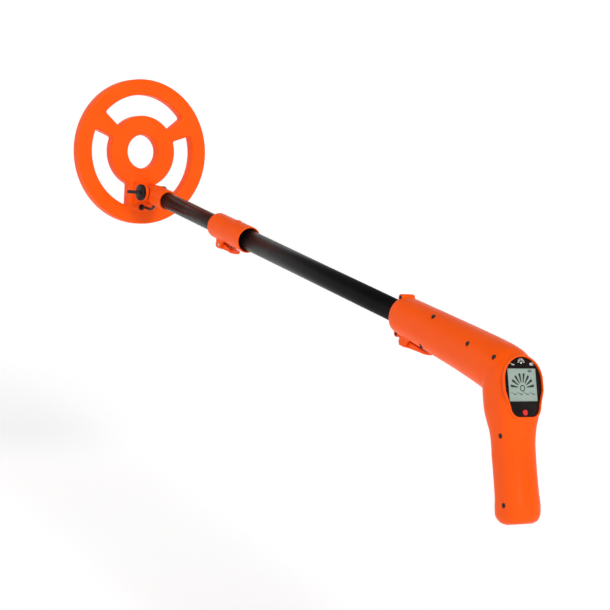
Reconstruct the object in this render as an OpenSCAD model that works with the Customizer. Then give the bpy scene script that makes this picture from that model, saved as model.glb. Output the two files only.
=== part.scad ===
// A children's metal detector: a round search coil that tilts on a telescoping shaft,
// and a pistol grip handle that holds the display, the circuit board and the battery.
// Millimetres. X is to the user's right, Y runs along the shaft towards the coil, Z is up.
// The origin is the point where the axis of the shaft meets the axis of the grip.

/* [Search coil] */
// Outer diameter of the search coil
coil_d = 171; // [150:1:205]
// Thickness of the coil housing, both covers together
coil_t = 13; // [11:0.5:16]
// Width of the outer ring, from its inner edge to its outer edge
ring_w = 18.5; // [16:0.5:23]
// Diameter of the hub in the middle of the coil
hub_d = 85; // [76:1:94]
// Diameter of the hole through the hub
hub_hole_d = 40; // [34:1:46]
// Angle that each of the two front spokes takes up
spoke_angle = 20; // [16:1:26]
// Angle that the spoke under the bracket takes up
bracket_spoke_angle = 29; // [24:1:36]
// Wall of the two covers
cover_wall = 2; // [1.6:0.1:2.4]
// Angle between the shaft and the coil as stored
coil_angle = 77.6; // [20:0.1:110]

/* [Coil bracket] */
// Height of the pivot over the coil's top face
pivot_h = 26; // [23:0.5:32]
// Distance of the pivot behind the middle of the coil
pivot_back = 49; // [47:0.5:58]
// Thickness of each ear
ear_t = 4; // [3:0.5:5]
// Radius of the round top of each ear
ear_r = 9; // [7.5:0.5:10]
// Width of the knuckle between the ears
knuckle_w = 15; // [13:0.5:18]
// Diameter of the pivot bolt
bolt_d = 4; // [3:0.5:5]
// Diameter of the thumb nut
nut_d = 19; // [16:1:24]
// Thickness of the thumb nut
nut_t = 5; // [4:0.5:7]
// Length of bolt that shows outside the thumb nut
bolt_end = 14; // [8:1:18]
// Radius taken off the bolt's free end, so that the thumb nut starts easily
bolt_relief = 0.1; // [0.05:0.05:0.3]

/* [Shaft] */
// Outer diameter of the upper tube
upper_d = 22; // [20:0.5:24]
// Wall of both tubes
tube_wall = 1.1; // [0.8:0.1:1.2]
// Outer diameter of the lower tube
lower_d = 19.2; // [17:0.1:19.2]
// Length of upper tube between the handle and the middle collar
upper_exposed = 290; // [240:1:340]
// Length of lower tube between the middle collar and the knuckle
lower_exposed = 117.5; // [90:0.5:150]
// Length of lower tube that stays hidden in the upper tube
lower_hidden = 149; // [110:1:180]
// How far the upper tube reaches into the handle
upper_plugged = 32; // [28:1:36]
// Travel of the upper tube into the handle
upper_travel = 22; // [10:1:24]

/* [Middle collar] */
// Length of the middle collar
collar_len = 70; // [62:1:80]
// Outer radius of the middle collar
collar_r = 14; // [13.5:0.1:15.5]

/* [Handle] */
// Lean of the grip, back from square to the shaft
grip_tilt = 24; // [15:1:32]
// Length of the barrel from the grip's axis to the front rim
barrel_len = 160; // [150:1:175]
// Length of the grip from the shaft's axis to the butt
grip_len = 140; // [138:1:150]
// Wall of the handle shells
shell_wall = 2; // [1.6:0.1:2.4]
// Half of the width of the head around the display
head_half = 23; // [22.5:0.5:26]
// Half of the width of the grip
grip_half = 17.5; // [17:0.5:20]

/* [Display] */
// Width of the display panel
panel_w = 41.5; // [38:0.5:42]
// Height of the display panel
panel_h = 53.5; // [50:0.5:56]
// Thickness of the display panel
panel_t = 1.6; // [1.2:0.1:2]
// Width of the visible part of the liquid crystal display
lcd_w = 32.3; // [28:0.1:33]
// Height of the visible part of the liquid crystal display
lcd_h = 28.9; // [24:0.1:30]
// Distance of the display's middle below the shaft's axis, along the grip
lcd_drop = 20; // [19:0.5:22]
// Depth of the display's face below the panel
lcd_sunk = 0.9; // [0.3:0.1:1.4]
// Diameter of the power button
button_d = 5.3; // [4.5:0.1:6.5]
// Travel of the power button
button_travel = 0.8; // [0.4:0.1:0.9]

/* [Battery] */
// Width, depth and height of the block battery
battery = [26.2, 17.2, 48]; // [1:0.1:60]

/* [Hidden] */
$fn = 64;
eps = 0.01;
run = 0.05;            // radial clearance of a running fit
seat = 0.1;            // gap round a piece that is clamped between others

// places along the shaft
rim_y = barrel_len;
collar_rear_y = rim_y + upper_exposed;
collar_front_y = collar_rear_y + collar_len;
socket_y = collar_front_y + lower_exposed;
socket_depth = 14;
pivot_gap = 26;        // from the end of the tube to the pivot
pivot_y = socket_y + socket_depth + pivot_gap;

upper_r = upper_d / 2;
lower_r = lower_d / 2;
upper_in_r = upper_r - tube_wall;
lower_in_r = lower_r - tube_wall;
upper_rear_y = rim_y - upper_plugged;
upper_front_y = collar_front_y - 25;
lower_front_y = socket_y + socket_depth;
lower_rear_y = collar_front_y - 25 - lower_hidden;

// the coil, in its own frame: the pivot is the origin, Y is forward, Z is square to the coil
ring_r = coil_d / 2;
ring_in_r = ring_r - ring_w;
hub_r = hub_d / 2;
hole_r = hub_hole_d / 2;
top_h = coil_t - 4.5;  // share of the thickness that the top cover takes
edge = 2;              // chamfer along the top edges
spokes = [[30, spoke_angle], [150, spoke_angle], [270, bracket_spoke_angle]];
washer_t = 0.8;
winding_h = 4.5;
root_w = 26;           // solid root of the bracket, inside the spoke
ear_in = knuckle_w / 2 + washer_t + 2 * run;
ear_out = ear_in + ear_t;
bolt_r = bolt_d / 2;
lead_r = 1.6;
lead_back = 17;        // the lead leaves the coil this far behind the pivot
entry_back = 10.5;     // and enters the knuckle this far behind the pivot
gland_h = 4;
socket_r = lower_r + 2.4;
neck_h = 9;

// latch levers, in the plane of the shaft: [place along the shaft, height]
pin_r = 1.5;
collar_pin = [collar_front_y - 22, -(collar_r + 3.6)];
handle_pin = [rim_y - 20, -22.3];
pad_half = 3.4;
pad_t = 2;
pad_back = 4;          // from the pin forward to the rear edge of the pad
pad_front = 10.5;
collar_lever_half = 4.8;
handle_lever_half = 6;
collar_tail = [-22, -1.6];
handle_tail = [-26.5, -0.6];
spring_back = 13;      // from the pin back to the axis of the spring
spring_d = 4.6;
spring_seat = -1.4;    // floor of the lever's pocket, from the pin
handle_spring_top = -16;
slot_top = -18.4;

// handle bush
bush_r = upper_r + 3.4;
bush_y0 = rim_y - 29;
bush_y1 = rim_y - 2;

// the panel lies square to Y in the grip's frame, and faces -Y
panel_face = -19.8;
panel_back = panel_face + panel_t;
rim_out = -21;
seat_front = panel_back + 1.8;
lcd_t = 2.6;
lcd_back = panel_back + seat;
lcd_front = lcd_back + lcd_t;
frame_front = lcd_front + 1.6;
frame_low = -lcd_drop - lcd_h / 2 - 3.3;
frame_high = -lcd_drop + lcd_h / 2 + 1.8;
board_t = 1.6;
board_y = frame_front + seat;
button_drop = lcd_drop + 0.75 * lcd_w;
board_top = -3;
board_bottom = -47;
board_half = 15.6;
switch_h = 1.6;

// stations of the barrel: [distance along the shaft, half width, top, bottom]
barrel = [
    [rim_y, 16.2, 16.2, -16.2], [rim_y - 2, 17.4, 17.4, -17.4], [rim_y - 10, 18.2, 18.2, -18.4],
    [120, 18.8, 18.5, -20], [90, 19.5, 18.7, -21.8], [60, 20.3, 18.8, -23.6], [32, 21.2, 18.8, -26],
    [8, 22, 18.4, -28.5], [-4, 22, 17.2, -29], [-12, 21.4, 14.5, -29], [-18, 19.5, 10, -29]
];
// stations of the head and grip: [height in the grip's frame, half width, back, front, squareness]
grip = [
    [8, head_half - 13, -17.5, 8, 3], [5, head_half - 7.5, -19.5, 12, 3.2],
    [0, head_half - 3, -20.6, 15, 3.6], [-8, head_half - 0.6, rim_out, 17.5, 4.4],
    [-22, head_half, rim_out, 20.5, 4.8], [-38, head_half - 0.8, rim_out, 21.5, 4.6],
    [-48, head_half - 2.6, rim_out + 0.3, 20.5, 4], [-58, grip_half + 1, -19.6, 18.8, 3.2],
    [-74, grip_half, -18.2, 17.2, 2.8], [-96, grip_half, -17.6, 16.8, 2.8],
    [-114, grip_half + 0.2, -17.9, 16.8, 2.8], [-124, grip_half + 0.6, -18.4, 18, 2.8],
    [9 - grip_len, grip_half + 0.6, -18.3, 19.5, 2.8], [3 - grip_len, grip_half - 1, -16.8, 18.6, 2.8],
    [-grip_len, grip_half - 4.5, -13, 14.5, 2.6]
];

// screws that close the barrel: [place along the shaft, height]; and the grip: [depth, height]
barrel_screws = [[99, 14.8], [36, 8], [-2.5, 7.4], [106, -15.4]];
grip_screws = [[-5.5, -63], [-3, -122.8]];
lugs = [[rim_y - 1.5, 16.6], [rim_y - 4.5, -17.4]];
lug_r = 3.6;
lug_half = 7.5;
screw_r = 1.3;
screw_head_r = 2.2;
post_r = 3.3;

// the battery and its door, in the grip's frame
battery_top = -70.2;
battery_front = 10.2;
door_half = battery[0] / 2 + 0.6;
door_top = battery_top + 2.6;
door_bottom = battery_top - battery[2] - 1.4;

// ---------- helpers ----------

// signed power, for a superellipse
function spow(v, p) = sign(v) * pow(abs(v), p);

// an outline with half width a, reaching back and front, with squareness n
function outline(a, back, front, n) = [for (t = [0:10:350])
    [a * spow(cos(t), 2 / n), (sin(t) < 0 ? -back : front) * spow(sin(t), 2 / n)]];

module in_coil() {
    translate([0, pivot_y, 0]) rotate([coil_angle, 0, 0]) children();
}

// the middle of the coil's top face
module at_coil_middle() {
    in_coil() translate([0, pivot_back, -pivot_h]) children();
}

module in_grip() {
    rotate([-grip_tilt, 0, 0]) children();
}

// a cylinder along X, centred on x
module rod_x(r, len) {
    rotate([0, 90, 0]) cylinder(r = r, h = len, center = true);
}

// a cylinder along Y from y0 to y1
module rod_y(r, y0, y1) {
    translate([0, y0, 0]) rotate([-90, 0, 0]) cylinder(r = r, h = y1 - y0);
}

module ring_y(outer, inner, y0, y1) {
    difference() {
        rod_y(outer, y0, y1);
        rod_y(inner, y0 - 1, y1 + 1);
    }
}

// a profile of [radius, y] points turned about the shaft's axis
module turned_y(points) {
    rotate([-90, 0, 0]) rotate_extrude($fn = 96) polygon(points);
}

// a [y, z] outline drawn out along X, centred on the plane of the shaft and grip
module across(len) {
    rotate([90, 0, 90]) linear_extrude(len, center = true) children();
}

// points along an arc about (x, z), from angle a0 to a1
function arc(x, z, r, a0, a1, step = 6) = [for (a = [a0:step:a1]) [x + r * cos(a), z + r * sin(a)]];

// a panel outline in the grip's frame, seen from behind: a round arch on top, a narrower foot below
panel_corner = 9;
module panel_outline(grow) {
    top = panel_w / 2 + grow;
    foot = panel_w / 2 - 4.5 + grow;
    corner = panel_corner + grow;
    foot_z = panel_corner - panel_h / 2;
    translate([0, -lcd_drop - 1.4]) polygon(concat(
        arc(0, panel_h / 2 - panel_w / 2 - 1, top, 0, 180),
        [[-top, -4]], arc(corner - foot, foot_z, corner, 180, 270), arc(foot - corner, foot_z, corner, 270, 360),
        [[top, -4]]
    ));
}

// a slab with the panel's outline, between two depths in the grip's frame
module panel_slab(grow, y0, y1) {
    in_grip() translate([0, y1, 0]) rotate([90, 0, 0]) linear_extrude(y1 - y0) panel_outline(grow);
}

module grip_box(half, y0, y1, z0, z1) {
    in_grip() translate([-half, y0, z0]) cube([2 * half, y1 - y0, z1 - z0]);
}

// a closed tube swept along a list of points, with the given radius and number of sides
function unit(v) = v / norm(v);
function heading(p, i) = unit(p[min(i + 1, len(p) - 1)] - p[max(i - 1, 0)]);
module sweep(p, r, sides = 8) {
    across_x = [1, 0, 0];
    n = len(p);
    points = [for (i = [0:n - 1]) let (h = heading(p, i), u = unit(cross(h, across_x)), w = cross(h, u))
        for (k = [0:sides - 1]) p[i] + r * (cos(360 * k / sides) * u + sin(360 * k / sides) * w)];
    sides_faces = [for (i = [0:n - 2]) for (k = [0:sides - 1]) let (j = (k + 1) % sides)
        [i * sides + k, (i + 1) * sides + k, (i + 1) * sides + j, i * sides + j]];
    first = [for (k = [0:sides - 1]) k];
    last = [for (k = [sides - 1:-1:0]) (n - 1) * sides + k];
    polyhedron(points, concat(sides_faces, [first], [last]));
}

// a compression spring that stands on z = 0
module spring(d, wire, height, turns) {
    steps = 14 * turns;
    sides = 6;
    r = (d - wire) / 2;
    points = [for (i = [0:steps]) let (a = 360 * i / 14, z = wire / 2 + (height - wire) * i / steps)
        for (k = [0:sides - 1]) let (c = wire / 2 * cos(360 * k / sides), s = wire / 2 * sin(360 * k / sides))
            [(r + c) * cos(a), (r + c) * sin(a), z + s]];
    side_faces = [for (i = [0:steps - 1]) for (k = [0:sides - 1]) let (j = (k + 1) % sides)
        [i * sides + k, i * sides + j, (i + 1) * sides + j, (i + 1) * sides + k]];
    first = [for (k = [sides - 1:-1:0]) k];
    last = [for (k = [0:sides - 1]) steps * sides + k];
    polyhedron(points, concat(side_faces, [first], [last]));
}

// ---------- search coil ----------

// the plan of the three spokes, between two radii
module spoke_plan(r0, r1, inset) {
    for (s = spokes) rotate(s[0]) {
        a = s[1] / 2;
        polygon([
            [r0 * cos(a), r0 * sin(a) - inset], [r1 * cos(a), r1 * sin(a) - inset],
            [r1 * cos(a), -r1 * sin(a) + inset], [r0 * cos(a), -r0 * sin(a) + inset]
        ]);
    }
}

// a ring with chamfered edges on the side away from the joint
module rim_ring(r0, r1, z0, z1, bevel) {
    rotate_extrude($fn = 144) polygon([
        [r0, z0], [r1, z0], [r1, z1 - bevel], [r1 - bevel, z1], [r0 + bevel, z1], [r0, z1 - bevel]
    ]);
}

// a plain ring-shaped channel
module channel(r0, r1, z0, z1) {
    rotate_extrude($fn = 144) translate([r0, z0]) square([r1 - r0, z1 - z0]);
}

// one cover: ring, hub and spokes as a tray, open at z = 0 and closed at z = height
module cover(height, bevel) {
    inside = height - cover_wall;
    difference() {
        union() {
            rim_ring(ring_in_r, ring_r, 0, height, bevel);
            rim_ring(hole_r, hub_r, 0, height, bevel);
            linear_extrude(height - 0.4) spoke_plan(hub_r - 2 - bevel, ring_in_r + 2 + bevel, 0);
        }
        channel(ring_in_r + cover_wall, ring_r - cover_wall, -1, inside);
        channel(hole_r + cover_wall, hub_r - cover_wall, -1, inside);
        translate([0, 0, -1]) linear_extrude(inside + 1)
            spoke_plan(hub_r - cover_wall - 1, ring_in_r + cover_wall + 1, cover_wall);
    }
}

// the places of the cover screws, in the ring between the spokes
module at_cover_screws() {
    for (a = [90, 210, 330]) rotate(a) translate([ring_in_r + ring_w / 2, 0, 0]) children();
}

// one ear of the bracket, in the coil's frame, drawn as [forward, up]
module ear_plan() {
    circle(r = ear_r);
    polygon([
        [-ear_r - 6, -pivot_h - 1], [-ear_r - 4, -pivot_h + 3], [-ear_r, -2], [ear_r, -2],
        [ear_r + 4, -pivot_h + 3], [ear_r + 7, -pivot_h - 1]
    ]);
}

module coil_top_cover() {
    color([1, 0.36, 0.06]) difference() {
        union() {
            at_coil_middle() translate([0, 0, -top_h]) {
                cover(top_h, edge);
                at_cover_screws() cylinder(r = post_r, h = top_h - cover_wall + 0.5);
                translate([-root_w / 2, -pivot_back - 18, 0]) cube([root_w, 30, top_h - 1]);
            }
            in_coil() for (s = [-1, 1]) translate([s * (ear_in + ear_t / 2), 0, 0])
                across(ear_t) ear_plan();
            in_coil() translate([0, -lead_back, -pivot_h - 1]) cylinder(r = 5, h = 2.5);
        }
        in_coil() rod_x(bolt_r + run, 4 * ear_out);
        in_coil() translate([0, -lead_back, -pivot_h - 20]) cylinder(r = 2.6 + seat, h = 40);
        at_coil_middle() translate([0, 0, -top_h - 1]) at_cover_screws() cylinder(r = 1.25, h = 6);
        at_coil_middle() translate([0, 0, -top_h]) junction_room();
    }
}

// the hollow for the junction board in the root of the bracket spoke
module junction_room() {
    translate([-7, -ring_in_r - 1.9, -1]) cube([14, 18, 5.5]);
}

module coil_bottom_cover() {
    depth = coil_t - top_h;
    color([0.95, 0.33, 0.05]) at_coil_middle() translate([0, 0, -top_h]) mirror([0, 0, 1]) difference() {
        union() {
            cover(depth, 0.8);
            at_cover_screws() cylinder(r = post_r, h = depth - eps);
        }
        translate([0, 0, -1]) at_cover_screws() cylinder(r = 1.5, h = depth + 2);
        translate([0, 0, depth - 1.6]) at_cover_screws() cylinder(r = 2.9, h = 3);
    }
}

module transmit_winding() {
    color([0.72, 0.4, 0.16]) at_coil_middle() translate([0, 0, -coil_t + cover_wall + seat])
        channel(ring_in_r + cover_wall + 0.3, ring_in_r + cover_wall + 3.6, 0, winding_h);
}

module receive_winding() {
    color([0.72, 0.4, 0.16]) at_coil_middle() translate([0, 0, -coil_t + cover_wall + seat])
        channel(hole_r + cover_wall + 0.4, hole_r + cover_wall + 4.5, 0, winding_h);
}

// a pan head screw that points up its own Z axis, with its head below z = 0
module screw(r, head_r, head_t, len) {
    translate([0, 0, -head_t]) difference() {
        cylinder(r = head_r, h = head_t + eps);
        for (a = [0, 90]) rotate(a) translate([-head_r * 0.6, -0.3, -1]) cube([head_r * 1.2, 0.6, 1.7]);
    }
    cylinder(r = r, h = len - r);
    translate([0, 0, len - r - eps]) cylinder(r1 = r, r2 = 0.3, h = r);
}

module coil_cover_screws() {
    color([0.3, 0.3, 0.32]) at_coil_middle() translate([0, 0, -coil_t + 1.6 - run]) at_cover_screws()
        screw(1.2, 2.6, 1.4, 7);
}

module coil_junction_board() {
    color([0.1, 0.4, 0.2]) at_coil_middle()
        translate([-5.5, -ring_in_r - 1.4, -top_h + 0.2]) cube([11, 15, 1.2]);
}

module lead_gland() {
    color([0.08, 0.08, 0.08]) in_coil() translate([0, -lead_back, 0]) difference() {
        union() {
            translate([0, 0, -pivot_h - 3]) cylinder(r = 2.6, h = 3 + 1.5 + 0.5);
            translate([0, 0, -pivot_h + 1.5 + run]) cylinder(r = 3.6, h = 1);
            translate([0, 0, -pivot_h + 2.5]) cylinder(r1 = 3, r2 = 2.2, h = gland_h - 2.5);
        }
        translate([0, 0, -pivot_h - 20]) cylinder(r = lead_r + run, h = 60);
    }
}

// where the lead leaves the coil and where it enters the knuckle
gland_tip = [0, pivot_y - lead_back * cos(coil_angle) + (pivot_h - gland_h) * sin(coil_angle),
    -lead_back * sin(coil_angle) - (pivot_h - gland_h) * cos(coil_angle)];
entry = [0, pivot_y - entry_back, -neck_h];

// the loop: out of the gland, a bend below the knuckle, and up into its grommet
gland_way = [0, -sin(coil_angle), cos(coil_angle)];
lead_loop = [
    gland_tip - 6.5 * gland_way, gland_tip, gland_tip + 4 * gland_way, gland_tip + [0, -8.5, 1.6],
    gland_tip + [0, -13, 1.8], gland_tip + [0, -17.5, 2.1], gland_tip + [0, -21.5, 3],
    entry + [0, 3.4, -7.6], entry + [0, 1.3, -5.2], entry + [0, 0.2, -2.6], entry, entry + [0, 0, 1.8]
];

module coil_lead() {
    color([0.06, 0.06, 0.06]) sweep(lead_loop, lead_r);
}

module pivot_bolt() {
    head_face = ear_out + run;
    full_end = -(ear_out + run + nut_t + 0.3);
    end_r = bolt_r - bolt_relief;
    color([0.12, 0.12, 0.13]) translate([0, pivot_y, 0]) rotate([0, 90, 0]) {
        translate([0, 0, head_face]) cylinder(r = bolt_d * 0.95, h = 3.4, $fn = 6);
        translate([0, 0, full_end]) cylinder(r = bolt_r, h = head_face + eps - full_end);
        translate([0, 0, full_end - bolt_end]) cylinder(r = end_r, h = bolt_end + eps);
        translate([0, 0, full_end - bolt_end - 0.8]) cylinder(r1 = end_r - 0.8, r2 = end_r, h = 0.8 + eps);
    }
}

module thumb_nut() {
    flutes = 20;
    color([0.05, 0.05, 0.05]) translate([-(ear_out + run), pivot_y, 0]) rotate([0, -90, 0]) difference() {
        union() {
            cylinder(r = nut_d / 2, h = nut_t - 1);
            translate([0, 0, nut_t - 1 - eps]) cylinder(r1 = nut_d / 2, r2 = nut_d / 2 - 1, h = 1);
        }
        translate([0, 0, -1]) cylinder(r = bolt_r + run, h = nut_t + 2);
        for (i = [0:flutes - 1]) rotate(360 * i / flutes) translate([nut_d / 2 + 0.5, 0, -1])
            cylinder(r = 1, h = nut_t + 2, $fn = 16);
    }
}

module friction_washers() {
    color([0.15, 0.15, 0.15]) translate([0, pivot_y, 0]) for (s = [-1, 1])
        translate([s * (knuckle_w / 2 + run + washer_t / 2), 0, 0]) difference() {
            rod_x(ear_r - 1, washer_t);
            rod_x(bolt_r + run, washer_t + 1);
        }
}

// ---------- knuckle and shaft ----------

module knuckle() {
    color([1, 0.34, 0.06]) difference() {
        union() {
            translate([0, pivot_y, 0]) rod_x(neck_h, knuckle_w);
            translate([-knuckle_w / 2, pivot_y - pivot_gap / 2 - 3, -neck_h])
                cube([knuckle_w, pivot_gap / 2 + 3, 2 * neck_h]);
            turned_y([
                [0, socket_y], [socket_r - 0.6, socket_y], [socket_r, socket_y + 0.6],
                [socket_r, pivot_y - 16], [socket_r - 1, pivot_y - 15], [0, pivot_y - 15]
            ]);
        }
        rod_y(lower_r + 0.02, socket_y - 1, lower_front_y);
        translate([0, pivot_y, 0]) rod_x(bolt_r + run, 2 * knuckle_w);
        rod_y(3, lower_front_y - 1, pivot_y - entry_back + 1.5);
        translate([0, pivot_y - entry_back, -neck_h - 1]) cylinder(r = 3, h = neck_h + 2.5);
        translate([0, socket_y + socket_depth / 2, lower_r - 3]) cylinder(r = 1.4, h = 9);
        translate([0, socket_y + socket_depth / 2, socket_r - 1.4]) cylinder(r = 2.9, h = 5);
    }
}

module knuckle_screw() {
    color([0.6, 0.6, 0.62]) translate([0, socket_y + socket_depth / 2, socket_r - 1.35]) mirror([0, 0, 1])
        screw(1.2, 2.6, 1.2, 3.6);
}

module lead_grommet() {
    color([0.1, 0.1, 0.1]) translate(entry) difference() {
        union() {
            cylinder(r = 2.95, h = 4);
            translate([0, 0, -1.2]) cylinder(r = 4, h = 1.2 - run);
            translate([0, 0, -1]) cylinder(r = 2.95, h = 2);
        }
        translate([0, 0, -5]) cylinder(r = lead_r + run, h = 20);
    }
}

module lower_tube() {
    color([0.05, 0.05, 0.05]) difference() {
        ring_y(lower_r, lower_in_r, lower_rear_y, lower_front_y - run);
        translate([0, socket_y + socket_depth / 2, lower_in_r - 2]) cylinder(r = 1.3, h = 5);
    }
}

bush_stub = 12;

module lower_tube_bush() {
    color([0.9, 0.9, 0.88]) union() {
        ring_y(lower_in_r - run, lower_in_r - 1.6, lower_rear_y - 1, lower_rear_y + bush_stub);
        ring_y(upper_in_r - run, lower_in_r - 1.6, lower_rear_y - 4, lower_rear_y - run);
    }
}

module tube_lead() {
    top_z = -neck_h + 1.9;
    color([0.06, 0.06, 0.06]) {
        rod_y(lead_r, lower_rear_y + 16, pivot_y - entry_back - 3);
        translate([0, pivot_y - entry_back - 3, -3]) rotate([0, 90, 0]) rotate([0, 0, 90])
            rotate_extrude(angle = 90) translate([3, 0]) circle(r = lead_r);
        translate([0, pivot_y - entry_back, top_z]) cylinder(r = lead_r, h = -3 - top_z + eps);
    }
}

// ---------- latches ----------

// a see-saw lever on its pin: rise is the height of the tube's surface over the pin
module latch_lever(rise, tail, half, tail_half) {
    color([1, 0.37, 0.07]) difference() {
        union() {
            rod_x(3.4, 2 * half);
            across(2 * half) polygon([
                [-3, 2.8], [2, 3], [11.2, 1.2], [11.8, -1.4], [10.4, -4], [-1, -4.2], [-6, -3.6],
                [tail[0], tail[1] - 1.6], [tail[0], tail[1] + 1.2]
            ]);
            across(2 * pad_half) polygon([
                [pad_back - 0.6, 0], [pad_back - 0.6, rise - run - pad_t], [pad_front + 0.6, rise - run - pad_t],
                [pad_front + 0.6, 0]
            ]);
            translate([0, tail[0], tail[1] - 1.6]) cylinder(r = tail_half, h = 2.8);
        }
        rod_x(pin_r + run, 4 * half);
        translate([0, -spring_back, spring_seat]) cylinder(r = spring_d / 2 + 0.3, h = 9);
    }
}

// the rubber pad on the lever's nose, hollowed to the tube
module latch_pad(rise, tube_r) {
    color([0.16, 0.16, 0.16]) difference() {
        translate([-pad_half + 0.2, pad_back, rise - run - pad_t])
            cube([2 * pad_half - 0.4, pad_front - pad_back, pad_t + 1]);
        translate([0, 0, rise + tube_r]) rod_y(tube_r + run, -20, 40);
    }
}

module latch_spring(height) {
    color([0.7, 0.7, 0.72]) translate([0, -spring_back, spring_seat]) spring(spring_d, 0.6, height, 4);
}

module at_collar_pin() {
    translate([0, collar_pin[0], collar_pin[1]]) children();
}

module at_handle_pin() {
    translate([0, handle_pin[0], handle_pin[1]]) children();
}

module middle_latch_lever() {
    at_collar_pin() latch_lever(-lower_r - collar_pin[1], collar_tail, collar_lever_half, 6.2);
}

module middle_latch_pad() {
    at_collar_pin() latch_pad(-lower_r - collar_pin[1], lower_r);
}

module middle_latch_spring() {
    at_collar_pin() latch_spring(-collar_r - collar_pin[1] - spring_seat);
}

module middle_latch_pin() {
    color([0.7, 0.7, 0.72]) at_collar_pin() rod_x(pin_r, 2 * collar_lever_half + 6.4);
}

module handle_latch_lever() {
    at_handle_pin() latch_lever(-upper_r - handle_pin[1], handle_tail, handle_lever_half, 6.4);
}

module handle_latch_pad() {
    at_handle_pin() latch_pad(-upper_r - handle_pin[1], upper_r);
}

module handle_latch_spring() {
    at_handle_pin() latch_spring(handle_spring_top - handle_pin[1] - spring_seat);
}

module handle_latch_pin() {
    color([0.7, 0.7, 0.72]) at_handle_pin() rod_x(pin_r, 2 * handle_lever_half + 5.6);
}

// ---------- upper tube and middle collar ----------

collar_screw_y = collar_rear_y + 28;

module middle_collar() {
    mouth_r = upper_r + 1.7;
    cheek = collar_lever_half + 0.2;
    color([1, 0.36, 0.06]) difference() {
        union() {
            turned_y([
                [0, collar_rear_y], [collar_r - 0.2, collar_rear_y], [collar_r + 0.5, collar_rear_y + 0.8],
                [collar_r + 0.5, collar_rear_y + 26], [collar_r, collar_rear_y + 27],
                [collar_r, collar_front_y - 2.5], [collar_r - 1.6, collar_front_y], [0, collar_front_y]
            ]);
            at_collar_pin() for (s = [-1, 1]) translate([s * (cheek + 1.5), 0, 0]) across(3)
                polygon([[-8, 7], [8, 7], [4.4, -3.6], [-2.6, -3.6]]);
            translate([0, collar_screw_y, 0]) cylinder(r = 3.4, h = collar_r + 0.9);
        }
        rod_y(lower_r + run, collar_rear_y - 1, collar_front_y + 1);
        rod_y(upper_r + 0.02, collar_rear_y - 1, upper_front_y);
        turned_y([
            [0, collar_rear_y - 1], [mouth_r + 0.8, collar_rear_y - 1], [mouth_r, collar_rear_y + 1.2],
            [mouth_r, collar_rear_y + 14], [0, collar_rear_y + 14 + mouth_r]
        ]);
        at_collar_pin() rod_x(pin_r + 0.02, 40);
        at_collar_pin() translate([-cheek + 0.8, pad_back - 1.6, -3])
            cube([2 * cheek - 1.6, pad_front - pad_back + 4.4, 30 - collar_r]);
        at_collar_pin() translate([-cheek, -8, -5]) cube([2 * cheek, 21, 5 + 3.6]);
        translate([0, collar_screw_y, 0]) cylinder(r = 1.25, h = 40);
        translate([0, collar_screw_y, collar_r - 0.6]) cylinder(r = 2.4, h = 9);
    }
}

module collar_screw() {
    color([0.6, 0.6, 0.62]) translate([0, collar_screw_y, collar_r - 0.55]) mirror([0, 0, 1])
        screw(1.2, 2.2, 1, collar_r - 0.5 - upper_in_r);
}

module upper_tube() {
    color([0.05, 0.05, 0.05]) difference() {
        ring_y(upper_r, upper_in_r, upper_rear_y, upper_front_y - run);
        translate([0, collar_screw_y, upper_in_r - 2]) cylinder(r = 1.25, h = 5);
    }
}

// the stretchy part of the lead, coiled inside the upper tube
module curly_lead() {
    color([0.08, 0.08, 0.08]) ring_y(5, 5 - 2 * lead_r, upper_rear_y + 2, lower_rear_y + 16);
}

// ---------- handle ----------

module barrel_slice(b, wall) {
    h = (b[2] - b[3]) / 2 - wall;
    translate([0, b[0], (b[2] + b[3]) / 2]) rotate([90, 0, 0]) linear_extrude(eps)
        polygon(outline(b[1] - wall, -h, h, 2.2));
}

module grip_slice(g, wall) {
    translate([0, 0, g[0]]) linear_extrude(eps) polygon(outline(g[1] - wall, g[2] + wall, g[3] - wall, g[4]));
}

module barrel_body(wall, last) {
    for (i = [0:last - 1]) hull() {
        barrel_slice(barrel[i], wall);
        barrel_slice(barrel[i + 1], wall);
    }
}

module grip_body(wall, first, last) {
    in_grip() for (i = [first:last - 1]) hull() {
        grip_slice(grip[i], wall);
        grip_slice(grip[i + 1], wall);
    }
}

module handle_outside() {
    intersection() {
        barrel_body(0, len(barrel) - 1);
        grip_box(60, rim_out, 400, -200, 200);
    }
    grip_body(0, 0, len(grip) - 1);
}

module handle_inside() {
    intersection() {
        barrel_body(shell_wall, len(barrel) - 2);
        grip_box(60, seat_front, 400, -200, 200);
        translate([-60, -60, -60]) cube([120, 60 + bush_y0 - 1, 120]);
    }
    grip_body(shell_wall, 1, len(grip) - 2);
}

// the distance of the outside from the middle, at a screw in the barrel or in the grip
function barrel_reach(p) = let (
        half = lookup(p[0], [for (b = barrel) [b[0], b[1]]]),
        mid = lookup(p[0], [for (b = barrel) [b[0], (b[2] + b[3]) / 2]]),
        h = lookup(p[0], [for (b = barrel) [b[0], (b[2] - b[3]) / 2]])
    ) half * pow(1 - pow(abs(p[1] - mid) / h, 2.2), 1 / 2.2);
function grip_reach(p) = let (
        half = lookup(p[1], [for (g = grip) [g[0], g[1]]]), back = lookup(p[1], [for (g = grip) [g[0], g[2]]])
    ) half * pow(1 - pow(abs(p[0] / back), 3), 1 / 3);

// children once at each handle screw, at the seat of its head, with Z along the screw
module at_barrel_screws() {
    for (p = barrel_screws) translate([-barrel_reach(p) + 1.6, p[0], p[1]]) rotate([0, 90, 0]) children();
}

module at_grip_screws() {
    in_grip() for (p = grip_screws) translate([-grip_reach(p) + 1.6, p[0], p[1]]) rotate([0, 90, 0]) children();
}

module at_lug_screws() {
    for (p = lugs) translate([-lug_half + 1.8, p[0], p[1]]) rotate([0, 90, 0]) children();
}

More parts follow.
